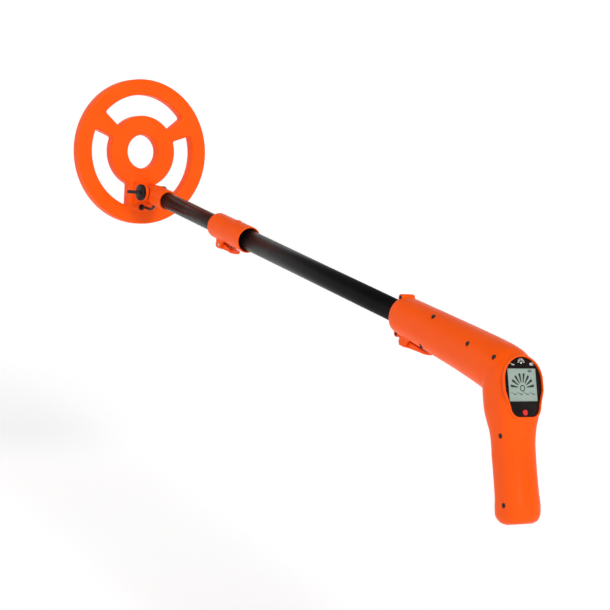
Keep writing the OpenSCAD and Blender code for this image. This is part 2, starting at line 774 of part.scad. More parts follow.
module posts() {
    for (p = barrel_screws) translate([0, p[0], p[1]]) rod_x(post_r, 60);
    in_grip() for (p = grip_screws) translate([0, p[0], p[1]]) rod_x(post_r, 60);
}

module handle_solid() {
    slot = handle_lever_half + 0.7;
    $fn = 32;
    difference() {
        union() {
            difference() {
                handle_outside();
                handle_inside();
            }
            intersection() {
                handle_outside();
                union() {
                    posts();
                    panel_slab(1.2, -30, seat_front);
                    translate([-30, handle_pin[0] - spring_back - 3.5, handle_spring_top]) cube([60, 7, 2.5]);
                }
            }
            panel_slab(1.9, rim_out - 0.7, rim_out + 2);
            for (p = lugs) translate([0, p[0], p[1]]) rod_x(lug_r, 2 * lug_half);
            at_handle_pin() for (s = [-1, 1]) translate([s * (slot + 1.2), 0, 0]) across(2.4)
                polygon([[-9, 8], [9, 8], [6, -3.6], [-3.6, -3.6]]);
        }
        panel_slab(seat, -40, panel_back);
        panel_slab(-2.4, -40, seat_front + 3);
        grip_box(lcd_w / 2 + 1.8 + seat, panel_back - eps, seat_front + 3, frame_low - seat, frame_high + seat);
        in_grip() translate([0, panel_back - eps, -button_drop]) rotate([-90, 0, 0]) cylinder(r = 4.6, h = 8);
        rod_y(bush_r + seat, bush_y0, bush_y1, $fn = 96);
        rod_y(upper_r + 1.2, bush_y0 - 4, rim_y + 9, $fn = 96);
        translate([-slot, handle_pin[0] + handle_tail[0] - 8, -60]) cube([2 * slot, 48, 60 + slot_top]);
        at_handle_pin() translate([-pad_half - 0.8, pad_back - 1.6, 0])
            cube([2 * pad_half + 1.6, pad_front - pad_back + 4, -handle_pin[1] - upper_r + 2]);
        at_handle_pin() translate([0, -spring_back, 0])
            cylinder(r = spring_d / 2 + 0.5, h = handle_spring_top - handle_pin[1]);
        at_handle_pin() rod_x(pin_r + 0.06, 2 * handle_lever_half + 5.8);
        at_barrel_screws() screw_hole();
        at_grip_screws() screw_hole();
        at_lug_screws() screw_hole();
        grip_box(door_half + 0.3, 0, 60, door_bottom - 0.3, door_top + 0.3);
    }
}

// the hole for a handle screw: a recess for its head, and a pilot hole
module screw_hole() {
    translate([0, 0, -20]) cylinder(r = screw_head_r + 0.3, h = 20);
    translate([0, 0, -1]) cylinder(r = screw_r + 0.1, h = 40);
}

module handle_left_shell() {
    color([1, 0.36, 0.06]) intersection() {
        handle_solid();
        translate([-80, -120, -200]) cube([80, 400, 300]);
    }
}

module handle_right_shell() {
    color([1, 0.36, 0.06]) intersection() {
        handle_solid();
        translate([0, -120, -200]) cube([80, 400, 300]);
    }
}

module handle_screws() {
    color([0.35, 0.35, 0.37]) translate([-run, 0, 0]) {
        at_barrel_screws() screw(screw_r, screw_head_r, 1.2, 22);
        at_grip_screws() screw(screw_r, screw_head_r, 1.2, 24);
        at_lug_screws() screw(screw_r, screw_head_r, 1.2, 10);
    }
}

module handle_bush() {
    color([0.12, 0.12, 0.12]) difference() {
        ring_y(bush_r, upper_r + run, bush_y0 + seat, bush_y1 - seat);
        at_handle_pin() translate([-pad_half - 0.6, pad_back - 1.4, 0])
            cube([2 * pad_half + 1.2, pad_front - pad_back + 3.6, 16]);
    }
}

// the lead from the shaft to the circuit board
board_entry = [0, board_y + board_t, -14];
module handle_lead() {
    y1 = board_entry[1] * cos(grip_tilt) + board_entry[2] * sin(grip_tilt);
    z1 = -board_entry[1] * sin(grip_tilt) + board_entry[2] * cos(grip_tilt);
    route = [
        [0, upper_rear_y + 2 - run, 0], [0, 90, 0], [0, 50, 0], [0, 28, -0.8], [0, 14, -2.6], [0, 4, -4.6],
        [0, y1 + 8, z1 - 3.6], [0, y1 + 3.5, z1 - 1.6], [0, y1 + 0.1, z1]
    ];
    color([0.06, 0.06, 0.06]) sweep(route, lead_r);
}

// ---------- display ----------

module display_panel() {
    color([0.02, 0.02, 0.02]) difference() {
        panel_slab(0, panel_face, panel_back);
        in_grip() translate([0, panel_face - 1, -button_drop]) rotate([-90, 0, 0])
            cylinder(r = button_d / 2 + 0.4, h = 9);
        grip_box(lcd_w / 2, panel_face - 1, panel_back + 1, -lcd_drop - lcd_h / 2, -lcd_drop + lcd_h / 2);
    }
}

module lcd_glass() {
    color([0.62, 0.68, 0.63]) {
        grip_box(lcd_w / 2 + 1, lcd_back, lcd_front, frame_low + 0.8, frame_high - 0.8);
        grip_box(lcd_w / 2 - seat, panel_face + lcd_sunk, lcd_back + eps, -lcd_drop - lcd_h / 2 + seat,
            -lcd_drop + lcd_h / 2 - seat);
    }
}

module lcd_frame() {
    color([0.93, 0.93, 0.9]) difference() {
        grip_box(lcd_w / 2 + 1.8, lcd_back + 0.3, frame_front, frame_low, frame_high);
        grip_box(lcd_w / 2 + 1, -60, lcd_front, frame_low + 0.8, frame_high - 0.8);
    }
}

module circuit_board() {
    color([0.08, 0.36, 0.16]) grip_box(board_half, board_y, board_y + board_t, board_bottom, board_top);
}

module board_chips() {
    y0 = board_y + board_t;
    color([0.06, 0.06, 0.07]) {
        grip_box(6, y0, y0 + 2, -34, -24);
        for (i = [0:3]) in_grip() translate([-13 + 3.2 * i, y0, -44]) cube([1.6, 1.1, 2.4]);
        for (i = [0:2]) in_grip() translate([9, y0, -46 + 6 * i]) rotate([-90, 0, 0]) cylinder(r = 2, h = 5);
        in_grip() translate([-14, y0, -20]) cube([7, 1.6, 5]);
    }
}

module buzzer() {
    color([0.05, 0.05, 0.05]) in_grip() translate([-8.5, board_y + board_t, -9]) rotate([-90, 0, 0]) difference() {
        cylinder(r = 6, h = 7);
        translate([0, 0, 6]) cylinder(r = 1, h = 3);
    }
}

module button_switch() {
    color([0.75, 0.75, 0.72]) {
        grip_box(3, board_y - switch_h, board_y, -button_drop - 3, -button_drop + 3);
        in_grip() translate([0, board_y - 2.2, -button_drop]) rotate([-90, 0, 0]) cylinder(r = 1.6, h = 1);
    }
}

// the button's cap, its stem and the flange that keeps it behind the panel
button_foot = board_y - 2.2 - 0.9;
module power_button() {
    color([0.85, 0.08, 0.06]) in_grip() translate([0, 0, -button_drop]) rotate([-90, 0, 0]) {
        translate([0, 0, panel_face - 0.6]) cylinder(r = button_d / 2, h = panel_t + 0.8);
        translate([0, 0, panel_face - 1]) cylinder(r1 = button_d / 2 - 0.5, r2 = button_d / 2, h = 0.41);
        translate([0, 0, panel_back + seat]) cylinder(r = button_d / 2 + 1, h = 0.8);
        translate([0, 0, panel_back + seat]) cylinder(r = 1.5, h = button_foot - panel_back - seat);
    }
}

module button_dome() {
    color([0.85, 0.85, 0.82]) in_grip() translate([0, 0, -button_drop]) rotate([-90, 0, 0]) rotate_extrude()
        polygon([
            [0, button_foot], [1.3, button_foot], [2.9, board_y - switch_h - 0.4], [2.9, board_y - switch_h],
            [2.4, board_y - switch_h], [1.2, button_foot + 0.45], [0, button_foot + 0.45]
        ]);
}

// ---------- battery ----------

module battery() {
    r = 1.8;
    w = battery[0] / 2 - r;
    d = battery[1] - 2 * r;
    color([0.16, 0.2, 0.28]) in_grip() translate([0, battery_front - battery[1] + r, battery_top - battery[2]]) {
        linear_extrude(battery[2]) union() {
            translate([-w, -r]) square([2 * w, d + 2 * r]);
            translate([-w - r, 0]) square([2 * w + 2 * r, d]);
            for (x = [-w, w], y = [0, d]) translate([x, y]) circle(r = r);
        }
    }
}

module battery_clip() {
    mid = battery_front - battery[1] / 2;
    color([0.1, 0.1, 0.1]) in_grip() translate([0, mid, battery_top]) {
        translate([-12, -6, 0]) cube([24, 12, 1.6]);
        for (s = [-1, 1]) translate([6.4 * s, 0, 1.6 - eps]) cylinder(r = 3.4, h = 0.8);
    }
}

module battery_leads() {
    mid = battery_front - battery[1] / 2;
    for (s = [-1, 1]) color(s < 0 ? [0.8, 0.05, 0.05] : [0.05, 0.05, 0.05]) in_grip() sweep([
        [6.4 * s, mid, battery_top + 2.4], [6.4 * s, mid + 0.3, battery_top + 6], [6 * s, mid + 1, battery_top + 12],
        [5.4 * s, mid - 1, battery_top + 17], [5 * s, mid - 5, battery_top + 20.5],
        [5 * s, board_y + board_t + 3, battery_top + 22.5], [5 * s, board_y + board_t + 0.02, battery_top + 23]
    ], 0.7, 6);
}

module battery_door() {
    color([1, 0.36, 0.06]) intersection() {
        difference() {
            grip_body(0, 7, len(grip) - 1);
            grip_body(shell_wall, 7, len(grip) - 2);
        }
        grip_box(door_half, 2, 60, door_bottom, door_top);
    }
}

coil_top_cover();
coil_bottom_cover();
transmit_winding();
receive_winding();
coil_cover_screws();
coil_junction_board();
lead_gland();
coil_lead();
pivot_bolt();
thumb_nut();
friction_washers();
knuckle();
knuckle_screw();
lead_grommet();
lower_tube();
lower_tube_bush();
tube_lead();
middle_collar();
collar_screw();
middle_latch_pin();
middle_latch_lever();
middle_latch_pad();
middle_latch_spring();
upper_tube();
curly_lead();
handle_left_shell();
handle_right_shell();
handle_screws();
handle_bush();
handle_latch_pin();
handle_latch_lever();
handle_latch_pad();
handle_latch_spring();
handle_lead();
display_panel();
lcd_glass();
lcd_frame();
circuit_board();
board_chips();
buzzer();
button_switch();
power_button();
button_dome();
battery();
battery_clip();
battery_leads();
battery_door();
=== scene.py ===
"""The looks of a children's metal detector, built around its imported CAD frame.

Metres, in the row's frame: X to the user's right, Y along the shaft to the coil, Z up, and the origin where the
shaft's axis meets the grip's axis. Shapes are given in millimetres and scaled once, where a mesh is made.
"""
import math

import bmesh
import bpy
import numpy as np
from mathutils import Matrix, Vector


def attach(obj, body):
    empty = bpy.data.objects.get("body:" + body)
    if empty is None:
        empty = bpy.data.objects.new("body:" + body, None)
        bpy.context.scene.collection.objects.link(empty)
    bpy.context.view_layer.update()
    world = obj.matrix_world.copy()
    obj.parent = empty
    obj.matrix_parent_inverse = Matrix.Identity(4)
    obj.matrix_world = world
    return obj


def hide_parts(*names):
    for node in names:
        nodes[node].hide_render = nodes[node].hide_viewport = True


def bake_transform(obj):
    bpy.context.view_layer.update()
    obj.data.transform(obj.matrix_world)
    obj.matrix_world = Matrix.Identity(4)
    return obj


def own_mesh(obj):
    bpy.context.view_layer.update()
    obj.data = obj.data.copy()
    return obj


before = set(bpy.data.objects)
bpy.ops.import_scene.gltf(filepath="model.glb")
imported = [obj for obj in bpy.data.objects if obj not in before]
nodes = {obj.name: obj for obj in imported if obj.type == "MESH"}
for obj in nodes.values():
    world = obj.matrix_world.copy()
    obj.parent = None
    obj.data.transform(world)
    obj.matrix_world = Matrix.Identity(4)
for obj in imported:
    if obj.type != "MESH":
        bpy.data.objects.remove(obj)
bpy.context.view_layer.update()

MM = 0.001
SHARP = math.radians(34)

# ---------- camera, as the photograph was taken ----------

RIGHT = Vector((0.8334, -0.5266, 0.1679))
DOWN = Vector((0.0225, -0.2711, -0.9623))
FORWARD = Vector((0.5522, 0.8057, -0.2141))
cam_data = bpy.data.cameras.new("camera")
cam_data.sensor_width = 36
cam_data.lens = 108.27
cam = bpy.data.objects.new("camera", cam_data)
bpy.context.scene.collection.objects.link(cam)
turn = Matrix((RIGHT, -DOWN, -FORWARD)).transposed().to_4x4()
cam.matrix_world = Matrix.Translation((-1.0377, -1.1898, 0.3652)) @ turn
bpy.context.scene.camera = cam

# ---------- places taken from the CAD ----------

TILT = math.radians(24)                      # lean of the grip
COIL_ANGLE = math.radians(77.6)              # turn of the coil about the pivot
PIVOT_Y = 677.5
PIVOT_BACK, PIVOT_H = 49, 26                 # the pivot's place behind the coil's middle, and over its top face
LEAD_BACK, GLAND_DROP = 17, 22               # the lead's gland, behind the pivot and below it
ENTRY_BACK, NECK_H = 10.5, 9                 # the lead's way into the knuckle, behind the pivot and below the axis
EAR_IN, EAR_OUT, RUN = 8.4, 12.4, 0.05       # faces of the bracket's ears, and the running clearance beside them
BOLT_R = 2.0
NUT_R, NUT_T = 9.5, 5.0
UPPER_R, UPPER_IN_R = 11.0, 9.9
LOWER_R, LOWER_IN_R = 9.6, 8.5

# frames for drawing, each of which turns the Z of a shape into the way it faces
ALONG_X = Matrix.Rotation(math.pi / 2, 4, "Y")
ALONG_Y = Matrix.Rotation(-math.pi / 2, 4, "X")
PIVOT = Matrix.Translation((0, PIVOT_Y, 0))
COIL_PIVOT = PIVOT @ Matrix.Rotation(COIL_ANGLE, 4, "X")
COIL_MIDDLE = COIL_PIVOT @ Matrix.Translation((0, PIVOT_BACK, -PIVOT_H))
BOLT_WAY = PIVOT @ ALONG_X
GRIP = Matrix.Rotation(-TILT, 4, "X")        # the grip's frame: Z up along the grip, the panel faces -Y
SIDE_PLANE = Matrix(((0, 0, 1, 0), (1, 0, 0, 0), (0, 1, 0, 0), (0, 0, 0, 1)))   # (forward, up), stepped across X
PANEL_PLANE = GRIP @ Matrix(((1, 0, 0, 0), (0, 0, 1, 0), (0, 1, 0, 0), (0, 0, 0, 1)))   # (across, up), by depth

# ---------- materials ----------

RELIEF = 0.0004


def node_tree(name):
    mat = bpy.data.materials.new(name)
    mat.use_nodes = True
    tree = mat.node_tree
    return mat, tree, tree.nodes["Principled BSDF"]


def noise(tree, scale, detail=3.0, stretch=(1, 1, 1)):
    """Noise in the object's own coordinates, in metres."""
    coords = tree.nodes.new("ShaderNodeTexCoord")
    mapping = tree.nodes.new("ShaderNodeMapping")
    mapping.inputs["Scale"].default_value = stretch
    tree.links.new(coords.outputs["Object"], mapping.inputs["Vector"])
    out = tree.nodes.new("ShaderNodeTexNoise")
    out.inputs["Scale"].default_value = scale
    out.inputs["Detail"].default_value = detail
    tree.links.new(mapping.outputs["Vector"], out.inputs["Vector"])
    return out.outputs["Fac"]


def ramp(tree, factor, stops):
    out = tree.nodes.new("ShaderNodeValToRGB")
    for i, (place, colour) in enumerate(stops):
        e = out.color_ramp.elements[i] if i < 2 else out.color_ramp.elements.new(place)
        e.position = place
        e.color = (*colour, 1) if len(colour) == 3 else colour
    tree.links.new(factor, out.inputs["Fac"])
    return out.outputs["Color"]


def material(name, dark, light, rough, rough_spread=0.08, grain=700.0, bump=0.02, blotch=45.0, metallic=0.0,
             specular=0.5, stretch=(1, 1, 1)):
    """A surface with slow colour variation, uneven gloss and a fine relief of RELIEF metres."""
    mat, tree, shader = node_tree(name)
    slow = noise(tree, blotch, 4.0, stretch)
    tree.links.new(ramp(tree, slow, [(0.3, dark), (0.7, light)]), shader.inputs["Base Color"])
    fine = noise(tree, grain, 3.0, stretch)
    low, high = rough - rough_spread, rough + rough_spread
    uneven = ramp(tree, noise(tree, blotch * 3, 5.0, stretch), [(0.3, (low,) * 3), (0.7, (high,) * 3)])
    tree.links.new(uneven, shader.inputs["Roughness"])
    relief = tree.nodes.new("ShaderNodeBump")
    relief.inputs["Strength"].default_value = bump
    relief.inputs["Distance"].default_value = RELIEF
    tree.links.new(fine, relief.inputs["Height"])
    tree.links.new(relief.outputs["Normal"], shader.inputs["Normal"])
    shader.inputs["Metallic"].default_value = metallic
    shader.inputs["Specular IOR Level"].default_value = specular
    return mat


M = {
    "orange": material("orange_plastic", (0.95, 0.092, 0.0010), (0.99, 0.101, 0.0018), 0.36, 0.05, 900, 0.05, 30,
                       specular=0.12),
    "black": material("black_plastic", (0.005, 0.005, 0.005), (0.009, 0.009, 0.009), 0.38, 0.08, 1100, 0.10,
                      specular=0.2),
    "panel": material("panel_black", (0.008, 0.005, 0.005), (0.012, 0.008, 0.008), 0.24, 0.04, 1500, 0.01, 60,
                      specular=0.10),
    "tube": material("tube_black", (0.002, 0.002, 0.002), (0.004, 0.004, 0.004), 0.30, 0.03, 500, 0.0, 40,
                     specular=0.09),
    "steel": material("steel", (0.45, 0.45, 0.47), (0.62, 0.62, 0.64), 0.32, 0.08, 900, 0.08, 120, metallic=1.0),
    # near-black steel: the pivot bolt's own colour, and also painted shade on the handle's screw heads
    "dark_steel_and_recess_shade": material("black_steel", (0.020, 0.020, 0.022), (0.035, 0.035, 0.038), 0.38, 0.08, 1200, 0.1, 150,
                           metallic=0.6),
    "copper": material("enamelled_wire", (0.42, 0.15, 0.05), (0.60, 0.24, 0.08), 0.35, 0.08, 2500, 0.5, 300,
                       metallic=0.9, stretch=(1, 1, 8)),
    "board": material("solder_mask", (0.010, 0.11, 0.035), (0.014, 0.15, 0.05), 0.38, 0.08, 1500, 0.1, 200),
    "lead": material("lead_rubber", (0.008, 0.008, 0.009), (0.016, 0.016, 0.017), 0.45, 0.08, 1800, 0.15, 200),
    "rubber": material("rubber", (0.020, 0.020, 0.021), (0.034, 0.034, 0.035), 0.68, 0.08, 1500, 0.3, 150),
    "white": material("white_plastic", (0.74, 0.74, 0.71), (0.82, 0.82, 0.79), 0.42, 0.06, 1200, 0.1, 100),
    "red": material("red_plastic", (0.62, 0.012, 0.010), (0.72, 0.018, 0.014), 0.28, 0.05, 1500, 0.04, 120),
    "lcd": material("lcd_glass", (0.310, 0.385, 0.335), (0.340, 0.415, 0.365), 0.30, 0.05, 2200, 0.01, 70,
                    specular=0.2),
    "ink": material("lcd_ink", (0.006, 0.018, 0.016), (0.010, 0.026, 0.022), 0.35, 0.05, 2500, 0.02, 200),
    "print": material("white_print", (0.72, 0.69, 0.67), (0.80, 0.77, 0.75), 0.45, 0.05, 2500, 0.05, 300),
    "battery": material("battery_can", (0.045, 0.06, 0.09), (0.06, 0.08, 0.12), 0.34, 0.06, 1200, 0.05, 90,
                        metallic=0.5),
}

# ---------- mesh helpers ----------


def paint(obj, mat):
    obj.data.materials.clear()
    obj.data.materials.append(M[mat])
    obj.data.polygons.foreach_set("material_index", np.zeros(len(obj.data.polygons), dtype=np.int32))
    return obj


def new_object(name, mesh, mat):
    obj = bpy.data.objects.new(name, mesh)
    bpy.context.scene.collection.objects.link(obj)
    return paint(obj, mat) if mat else obj


def from_bmesh(name, bm, mat=None, matrix=None):
    """A new object from a bmesh drawn in millimetres."""
    bmesh.ops.remove_doubles(bm, verts=bm.verts, dist=1e-5)
    if matrix is not None:
        bmesh.ops.transform(bm, matrix=matrix, verts=bm.verts)
    bmesh.ops.recalc_face_normals(bm, faces=bm.faces)
    mesh = bpy.data.meshes.new(name)
    bm.to_mesh(mesh)
    bm.free()
    mesh.transform(Matrix.Scale(MM, 4))
    return new_object(name, mesh, mat)


def bake(obj):
    """Applies the object's modifiers."""
    deps = bpy.context.evaluated_depsgraph_get()
    mesh = bpy.data.meshes.new_from_object(obj.evaluated_get(deps))
    obj.modifiers.clear()
    old = obj.data
    obj.data = mesh
    bpy.data.meshes.remove(old)
    return obj


def band(bm, a, b):
    """Faces between two rings of the same number of points."""
    for k in range(len(a)):
        j = (k + 1) % len(a)
        bm.faces.new((a[k], a[j], b[j], b[k]))


def skin(bm, rings):
    """Faces along a row of rings, closed at both ends."""
    for a, b in zip(rings, rings[1:]):
        band(bm, a, b)
    bm.faces.new(rings[0][::-1])
    bm.faces.new(rings[-1])


def shade(obj, angle=SHARP):
    obj.data.shade_smooth()
    obj.data.set_sharp_from_angle(angle=angle)
    return obj


def join(name, objs, mat=None):
    """One object from several, as separate closed shells."""
    bm = bmesh.new()
    for o in objs:
        bm.from_mesh(o.data)
    mesh = bpy.data.meshes.new(name)
    bm.to_mesh(mesh)
    bm.free()
    for o in objs:
        bpy.data.objects.remove(o)
    return new_object(name, mesh, mat)


def remesh(obj, voxel, passes):
    """Melts the shells of a mesh into one, with soft edges. voxel is in millimetres."""
    mod = obj.modifiers.new("remesh", "REMESH")
    mod.mode, mod.voxel_size = "VOXEL", voxel * MM
    mod = obj.modifiers.new("smooth", "SMOOTH")
    mod.iterations, mod.factor = passes, 0.5
    return bake(obj)


def boolean(obj, other, operation, keep_other=False):
    mod = obj.modifiers.new("boolean", "BOOLEAN")
    mod.object, mod.operation, mod.solver = other, operation, "MANIFOLD"
    bake(obj)
    if not keep_other:
        bpy.data.objects.remove(other)
    return obj


def copy_of(obj, name):
    new = bpy.data.objects.new(name, obj.data.copy())
    bpy.context.scene.collection.objects.link(new)
    return new


def finish_piece(obj, body, slot, *replaced):
    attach(obj, body)
    if replaced:
        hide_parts(*replaced)
    return obj


def lathe(points, matrix, name, mat=None, sides=96, closed=True):
    """A profile of (radius, height) turned about Z, then placed by matrix."""
    bm = bmesh.new()
    rings = []
    for r, z in points:
        if r < 1e-6:
            rings.append([bm.verts.new((0, 0, z))] * sides)
        else:
            turns = [2 * math.pi * k / sides for k in range(sides)]
            rings.append([bm.verts.new((r * math.cos(a), r * math.sin(a), z)) for a in turns])
    pairs = list(zip(rings, rings[1:])) + ([(rings[-1], rings[0])] if closed else [])
    for a, b in pairs:
        for k in range(sides):
            corners = [a[k], a[(k + 1) % sides], b[(k + 1) % sides], b[k]]
            unique = list(dict.fromkeys(corners))
            if len(unique) > 2:
                bm.faces.new(unique)
    return from_bmesh(name, bm, mat, matrix)


def rod(r, z0, z1, matrix, name="cutter", sides=48):
    return lathe([(0, z0), (r, z0), (r, z1), (0, z1)], matrix, name, sides=sides, closed=False)


def box(lo, hi, name="cutter", matrix=None):
    bm = bmesh.new()
    bmesh.ops.create_cube(bm, size=1)
    for v in bm.verts:
        v.co = [(a + b) / 2 + c * (b - a) for a, b, c in zip(lo, hi, v.co)]
    return from_bmesh(name, bm, None, matrix)


def inset_ring(bm, outline, z, inset):
    return [bm.verts.new((p[0] - n[0] * inset, p[1] - n[1] * inset, z)) for p, n in outline]


def levels(outline, steps, matrix, name, mat=None):
    """A plate drawn by an outline of points and outward normals, stepped through (height, inset)."""
    bm = bmesh.new()
    skin(bm, [inset_ring(bm, outline, z, inset) for z, inset in steps])
    return from_bmesh(name, bm, mat, matrix)


def with_normals(points):
    """Points of a closed outline, counter-clockwise, each with its outward normal."""
    out = []
    for i, p in enumerate(points):
        a, b = Vector(points[i - 1]), Vector(points[(i + 1) % len(points)])
        d = (b - a).normalized()
        out.append((tuple(p), (d[1], -d[0])))
    return out


def rounded_outline(points, r, steps=6):
    """Rounds the corners of a closed outline."""
    out = []
    n = len(points)
    for i in range(n):
        p = Vector(points[i])
        a = (Vector(points[i - 1]) - p)
        b = (Vector(points[(i + 1) % n]) - p)
        half = a.angle(b) / 2
        reach = min(r / math.tan(half), 0.45 * a.length, 0.45 * b.length)
        start, end = p + a.normalized() * reach, p + b.normalized() * reach
        for k in range(steps + 1):
            t = k / steps
            out.append(tuple((1 - t) ** 2 * start + 2 * t * (1 - t) * p + t * t * end))
    return out


def soft_copy(node, name, voxel, passes, mat, body, slot):
    """A CAD node's own shape with moulded, rounded edges, in place of the node."""
    obj = paint(copy_of(nodes[node], name), mat)
    bm = bmesh.new()
    bm.from_mesh(obj.data)
    bmesh.ops.remove_doubles(bm, verts=bm.verts, dist=1e-6)
    bm.to_mesh(obj.data)
    bm.free()
    remesh(obj, voxel, passes)
    shade(obj, math.radians(50))
    return finish_piece(obj, body, slot, node)


# ---------- search coil ----------

RING_R, RING_IN, HUB_R, HOLE_R = 85.5, 67.0, 42.5, 20.0
COIL_T, TOP_T, WALL = 13.0, 8.5, 2.0
WINDOWS = [(40, 140), (160, 255.5), (284.5, 380)]   # degrees from one spoke's side to the next
CORNER = 2.6                                 # radius of a window's corners
SPOKE_HALF = 16.6                            # half width of the bottom spoke, whose sides are parallel
GAP, GROOVE = 0.03, 0.25                     # half the gap of the joint between the covers, and the groove along it
TOP_EDGE, LOW_EDGE = 2.2, 0.9                # radii of the covers' outer edges
PAD_HALF, PAD_LOW, PAD_HIGH = 13.4, -68, -33
BOSS_BACK = 17                               # the boss round the gland, behind the pivot


def circle_outline(r, count, hole):
    """Points of a circle, with normals out of the material: away from its middle, or towards it for a hole."""
    s = -1 if hole else 1
    out = []
    for k in range(count):
        a = 2 * math.pi * k / count
        c = (math.cos(a), math.sin(a))
        out.append(((r * c[0], r * c[1]), (s * c[0], s * c[1])))
    return out


def window_outline(a0, a1):
    """A window between two spokes, with round corners. Normals point into the window."""
    wide0, wide1 = a0 > 270, 250 < a1 < 270  # beside the bottom spoke
    a0, a1 = math.radians(a0), math.radians(a1)
    out = []

    def corner(centre, start, end, steps=6):
        for k in range(steps + 1):
            a = start + (end - start) * k / steps
            d = (math.cos(a), math.sin(a))
            out.append(((centre[0] + CORNER * d[0], centre[1] + CORNER * d[1]), (-d[0], -d[1])))

    def arc(r, start, end, inward):
        count = max(4, int(abs(end - start) * r / 2.0))
        for k in range(1, count):
            a = start + (end - start) * k / count
            d = (math.cos(a), math.sin(a))
            out.append(((r * d[0], r * d[1]), (-inward * d[0], -inward * d[1])))

    ri, ro = HUB_R + CORNER, RING_IN - CORNER

    def side(r, a, s, wide):
        """Angle of a corner's middle at a radius, and the direction from the window into the spoke."""
        if not wide:
            return a + s * math.asin(CORNER / r), a - s * math.pi / 2
        return 1.5 * math.pi + s * math.asin((SPOKE_HALF + CORNER) / r), math.pi if s > 0 else 0.0

    (i0, n0), (o0, _) = side(ri, a0, 1, wide0), side(ro, a0, 1, wide0)
    (i1, n1), (o1, _) = side(ri, a1, -1, wide1), side(ro, a1, -1, wide1)
    while n0 > o0:
        n0 -= 2 * math.pi
    while n0 < o0 - math.pi:
        n0 += 2 * math.pi
    while n1 < o1:
        n1 += 2 * math.pi
    while n1 > o1 + math.pi:
        n1 -= 2 * math.pi

    def at(r, a):
        return r * math.cos(a), r * math.sin(a)

    corner(at(ro, o0), n0, o0)
    arc(RING_IN, o0, o1, 1)
    corner(at(ro, o1), o1, n1)
    corner(at(ri, i1), n1, i1 + math.pi)
    arc(HUB_R, i1, i0, -1)
    corner(at(ri, i0), i0 + math.pi, n0 + 2 * math.pi)
    return out


def coil_tray(name, joint_z, steps, inner_z):
    """One half of the coil housing: a tray open at joint_z. steps are (height, inset) from the joint to the face."""
    loops = [circle_outline(RING_R, 180, False), circle_outline(HOLE_R, 72, True)]
    loops += [window_outline(*w) for w in WINDOWS]
    bm = bmesh.new()

    def fill(rings):
        edges = [bm.edges.get((r[k], r[(k + 1) % len(r)])) for r in rings for k in range(len(r))]
        bmesh.ops.triangle_fill(bm, use_beauty=True, use_dissolve=False, edges=edges)

    face, ceiling = [], []
    for loop in loops:
        outside = [inset_ring(bm, loop, z, inset) for z, inset in steps]
        inside = [inset_ring(bm, loop, z, WALL) for z in (joint_z, inner_z)]
        for a, b in zip(outside, outside[1:]):
            band(bm, a, b)
        band(bm, outside[0], inside[0])
        band(bm, inside[0], inside[1])
        face.append(outside[-1])
        ceiling.append(inside[-1])
    fill(face)
    fill(ceiling)
    return from_bmesh(name, bm, None, COIL_MIDDLE)


def quarter(z, r, count, up):
    """Steps of a rounded edge that ends at height z."""
    out = []
    for k in range(count + 1):
        a = math.pi / 2 * k / count
        out.append((z - up * r * (1 - math.sin(a)), r * (1 - math.cos(a))))
    return out


split = -TOP_T
top_steps = [(split + GAP, GROOVE), (split + 0.3, 0.0)] + quarter(0, TOP_EDGE, 6, 1)
top = coil_tray("coil_housing_top", split + GAP, top_steps, -WALL)
low_steps = [(split - GAP, GROOVE), (split - 0.3, 0.0)] + quarter(-COIL_T, LOW_EDGE, 4, -1)
low = coil_tray("coil_housing_bottom", split - GAP, low_steps, -COIL_T + WALL)

# the bracket on the bottom spoke: a raised pad, its root inside the spoke, and two ears
pad_corners = [(-PAD_HALF, PAD_LOW), (PAD_HALF, PAD_LOW), (PAD_HALF, PAD_HIGH), (-PAD_HALF, PAD_HIGH)]
pad = with_normals(rounded_outline(pad_corners, 4))
pad_steps = [(-1.2, -3.4), (0.04, -3.4), (0.12, -2.4), (0.35, -1.4), (0.75, -0.6), (1.25, -0.1), (1.7, 0.3),
             (2.05, 0.9), (2.2, 1.6)]
boolean(top, levels(pad, pad_steps, COIL_MIDDLE, "pad"), "UNION")
boolean(top, box((-13, -67, -TOP_T + 0.1), (13, -37, -1.0), "root", COIL_MIDDLE), "UNION")
ear = [(-15, -26.4), (15.5, -26.4), (13.2, -23.2), (10.6, -15), (9.2, -3)]
ear += [(9 * math.cos(math.radians(10 * k)), 9 * math.sin(math.radians(10 * k))) for k in range(1, 18)]
ear += [(-9.2, -3), (-10.6, -15), (-13.2, -23.2)]
for x0, x1 in ((-EAR_OUT, -EAR_IN), (EAR_IN, EAR_OUT)):
    ear_steps = [(x0, 0.7), (x0 + 0.2, 0.25), (x0 + 0.7, 0), (x1 - 0.9, 0), (x1 - 0.25, 0.3), (x1, 0.9)]
    boolean(top, levels(with_normals(ear), ear_steps, COIL_PIVOT @ SIDE_PLANE, "ear"), "UNION")
boss_steps = [(5.0, -27), (5.9, -26.02), (5.35, -25.5), (5.1, -25), (4.9, -24.6), (4.3, -24.4), (0, -24.4)]
boss_way = COIL_PIVOT @ Matrix.Translation((0, -BOSS_BACK, 0))
boolean(top, lathe([(0, -27)] + boss_steps, boss_way, "boss", closed=False), "UNION")
boolean(top, rod(2.72, -40, -20, boss_way), "DIFFERENCE")
boolean(top, rod(BOLT_R + RUN, -30, 30, BOLT_WAY), "DIFFERENCE")
boolean(top, box((-6.9, -68.8, -TOP_T - 1), (6.9, -51, -4), "room", COIL_MIDDLE), "DIFFERENCE")
for o, node in ((top, "coil_top_cover"), (low, "coil_bottom_cover")):
    paint(o, "orange")
    shade(o)
    finish_piece(o, "coil", "orange_plastic", node)
for a in (90, 210, 330):
    at = COIL_MIDDLE @ Matrix.Rotation(math.radians(a), 4, "Z") @ Matrix.Translation((RING_IN + 9.25, 0, 0))
    boolean(low, rod(3.0, -COIL_T - 1, -COIL_T + 1.6, at), "DIFFERENCE")
shade(low)

# ---------- bolt and thumb nut ----------


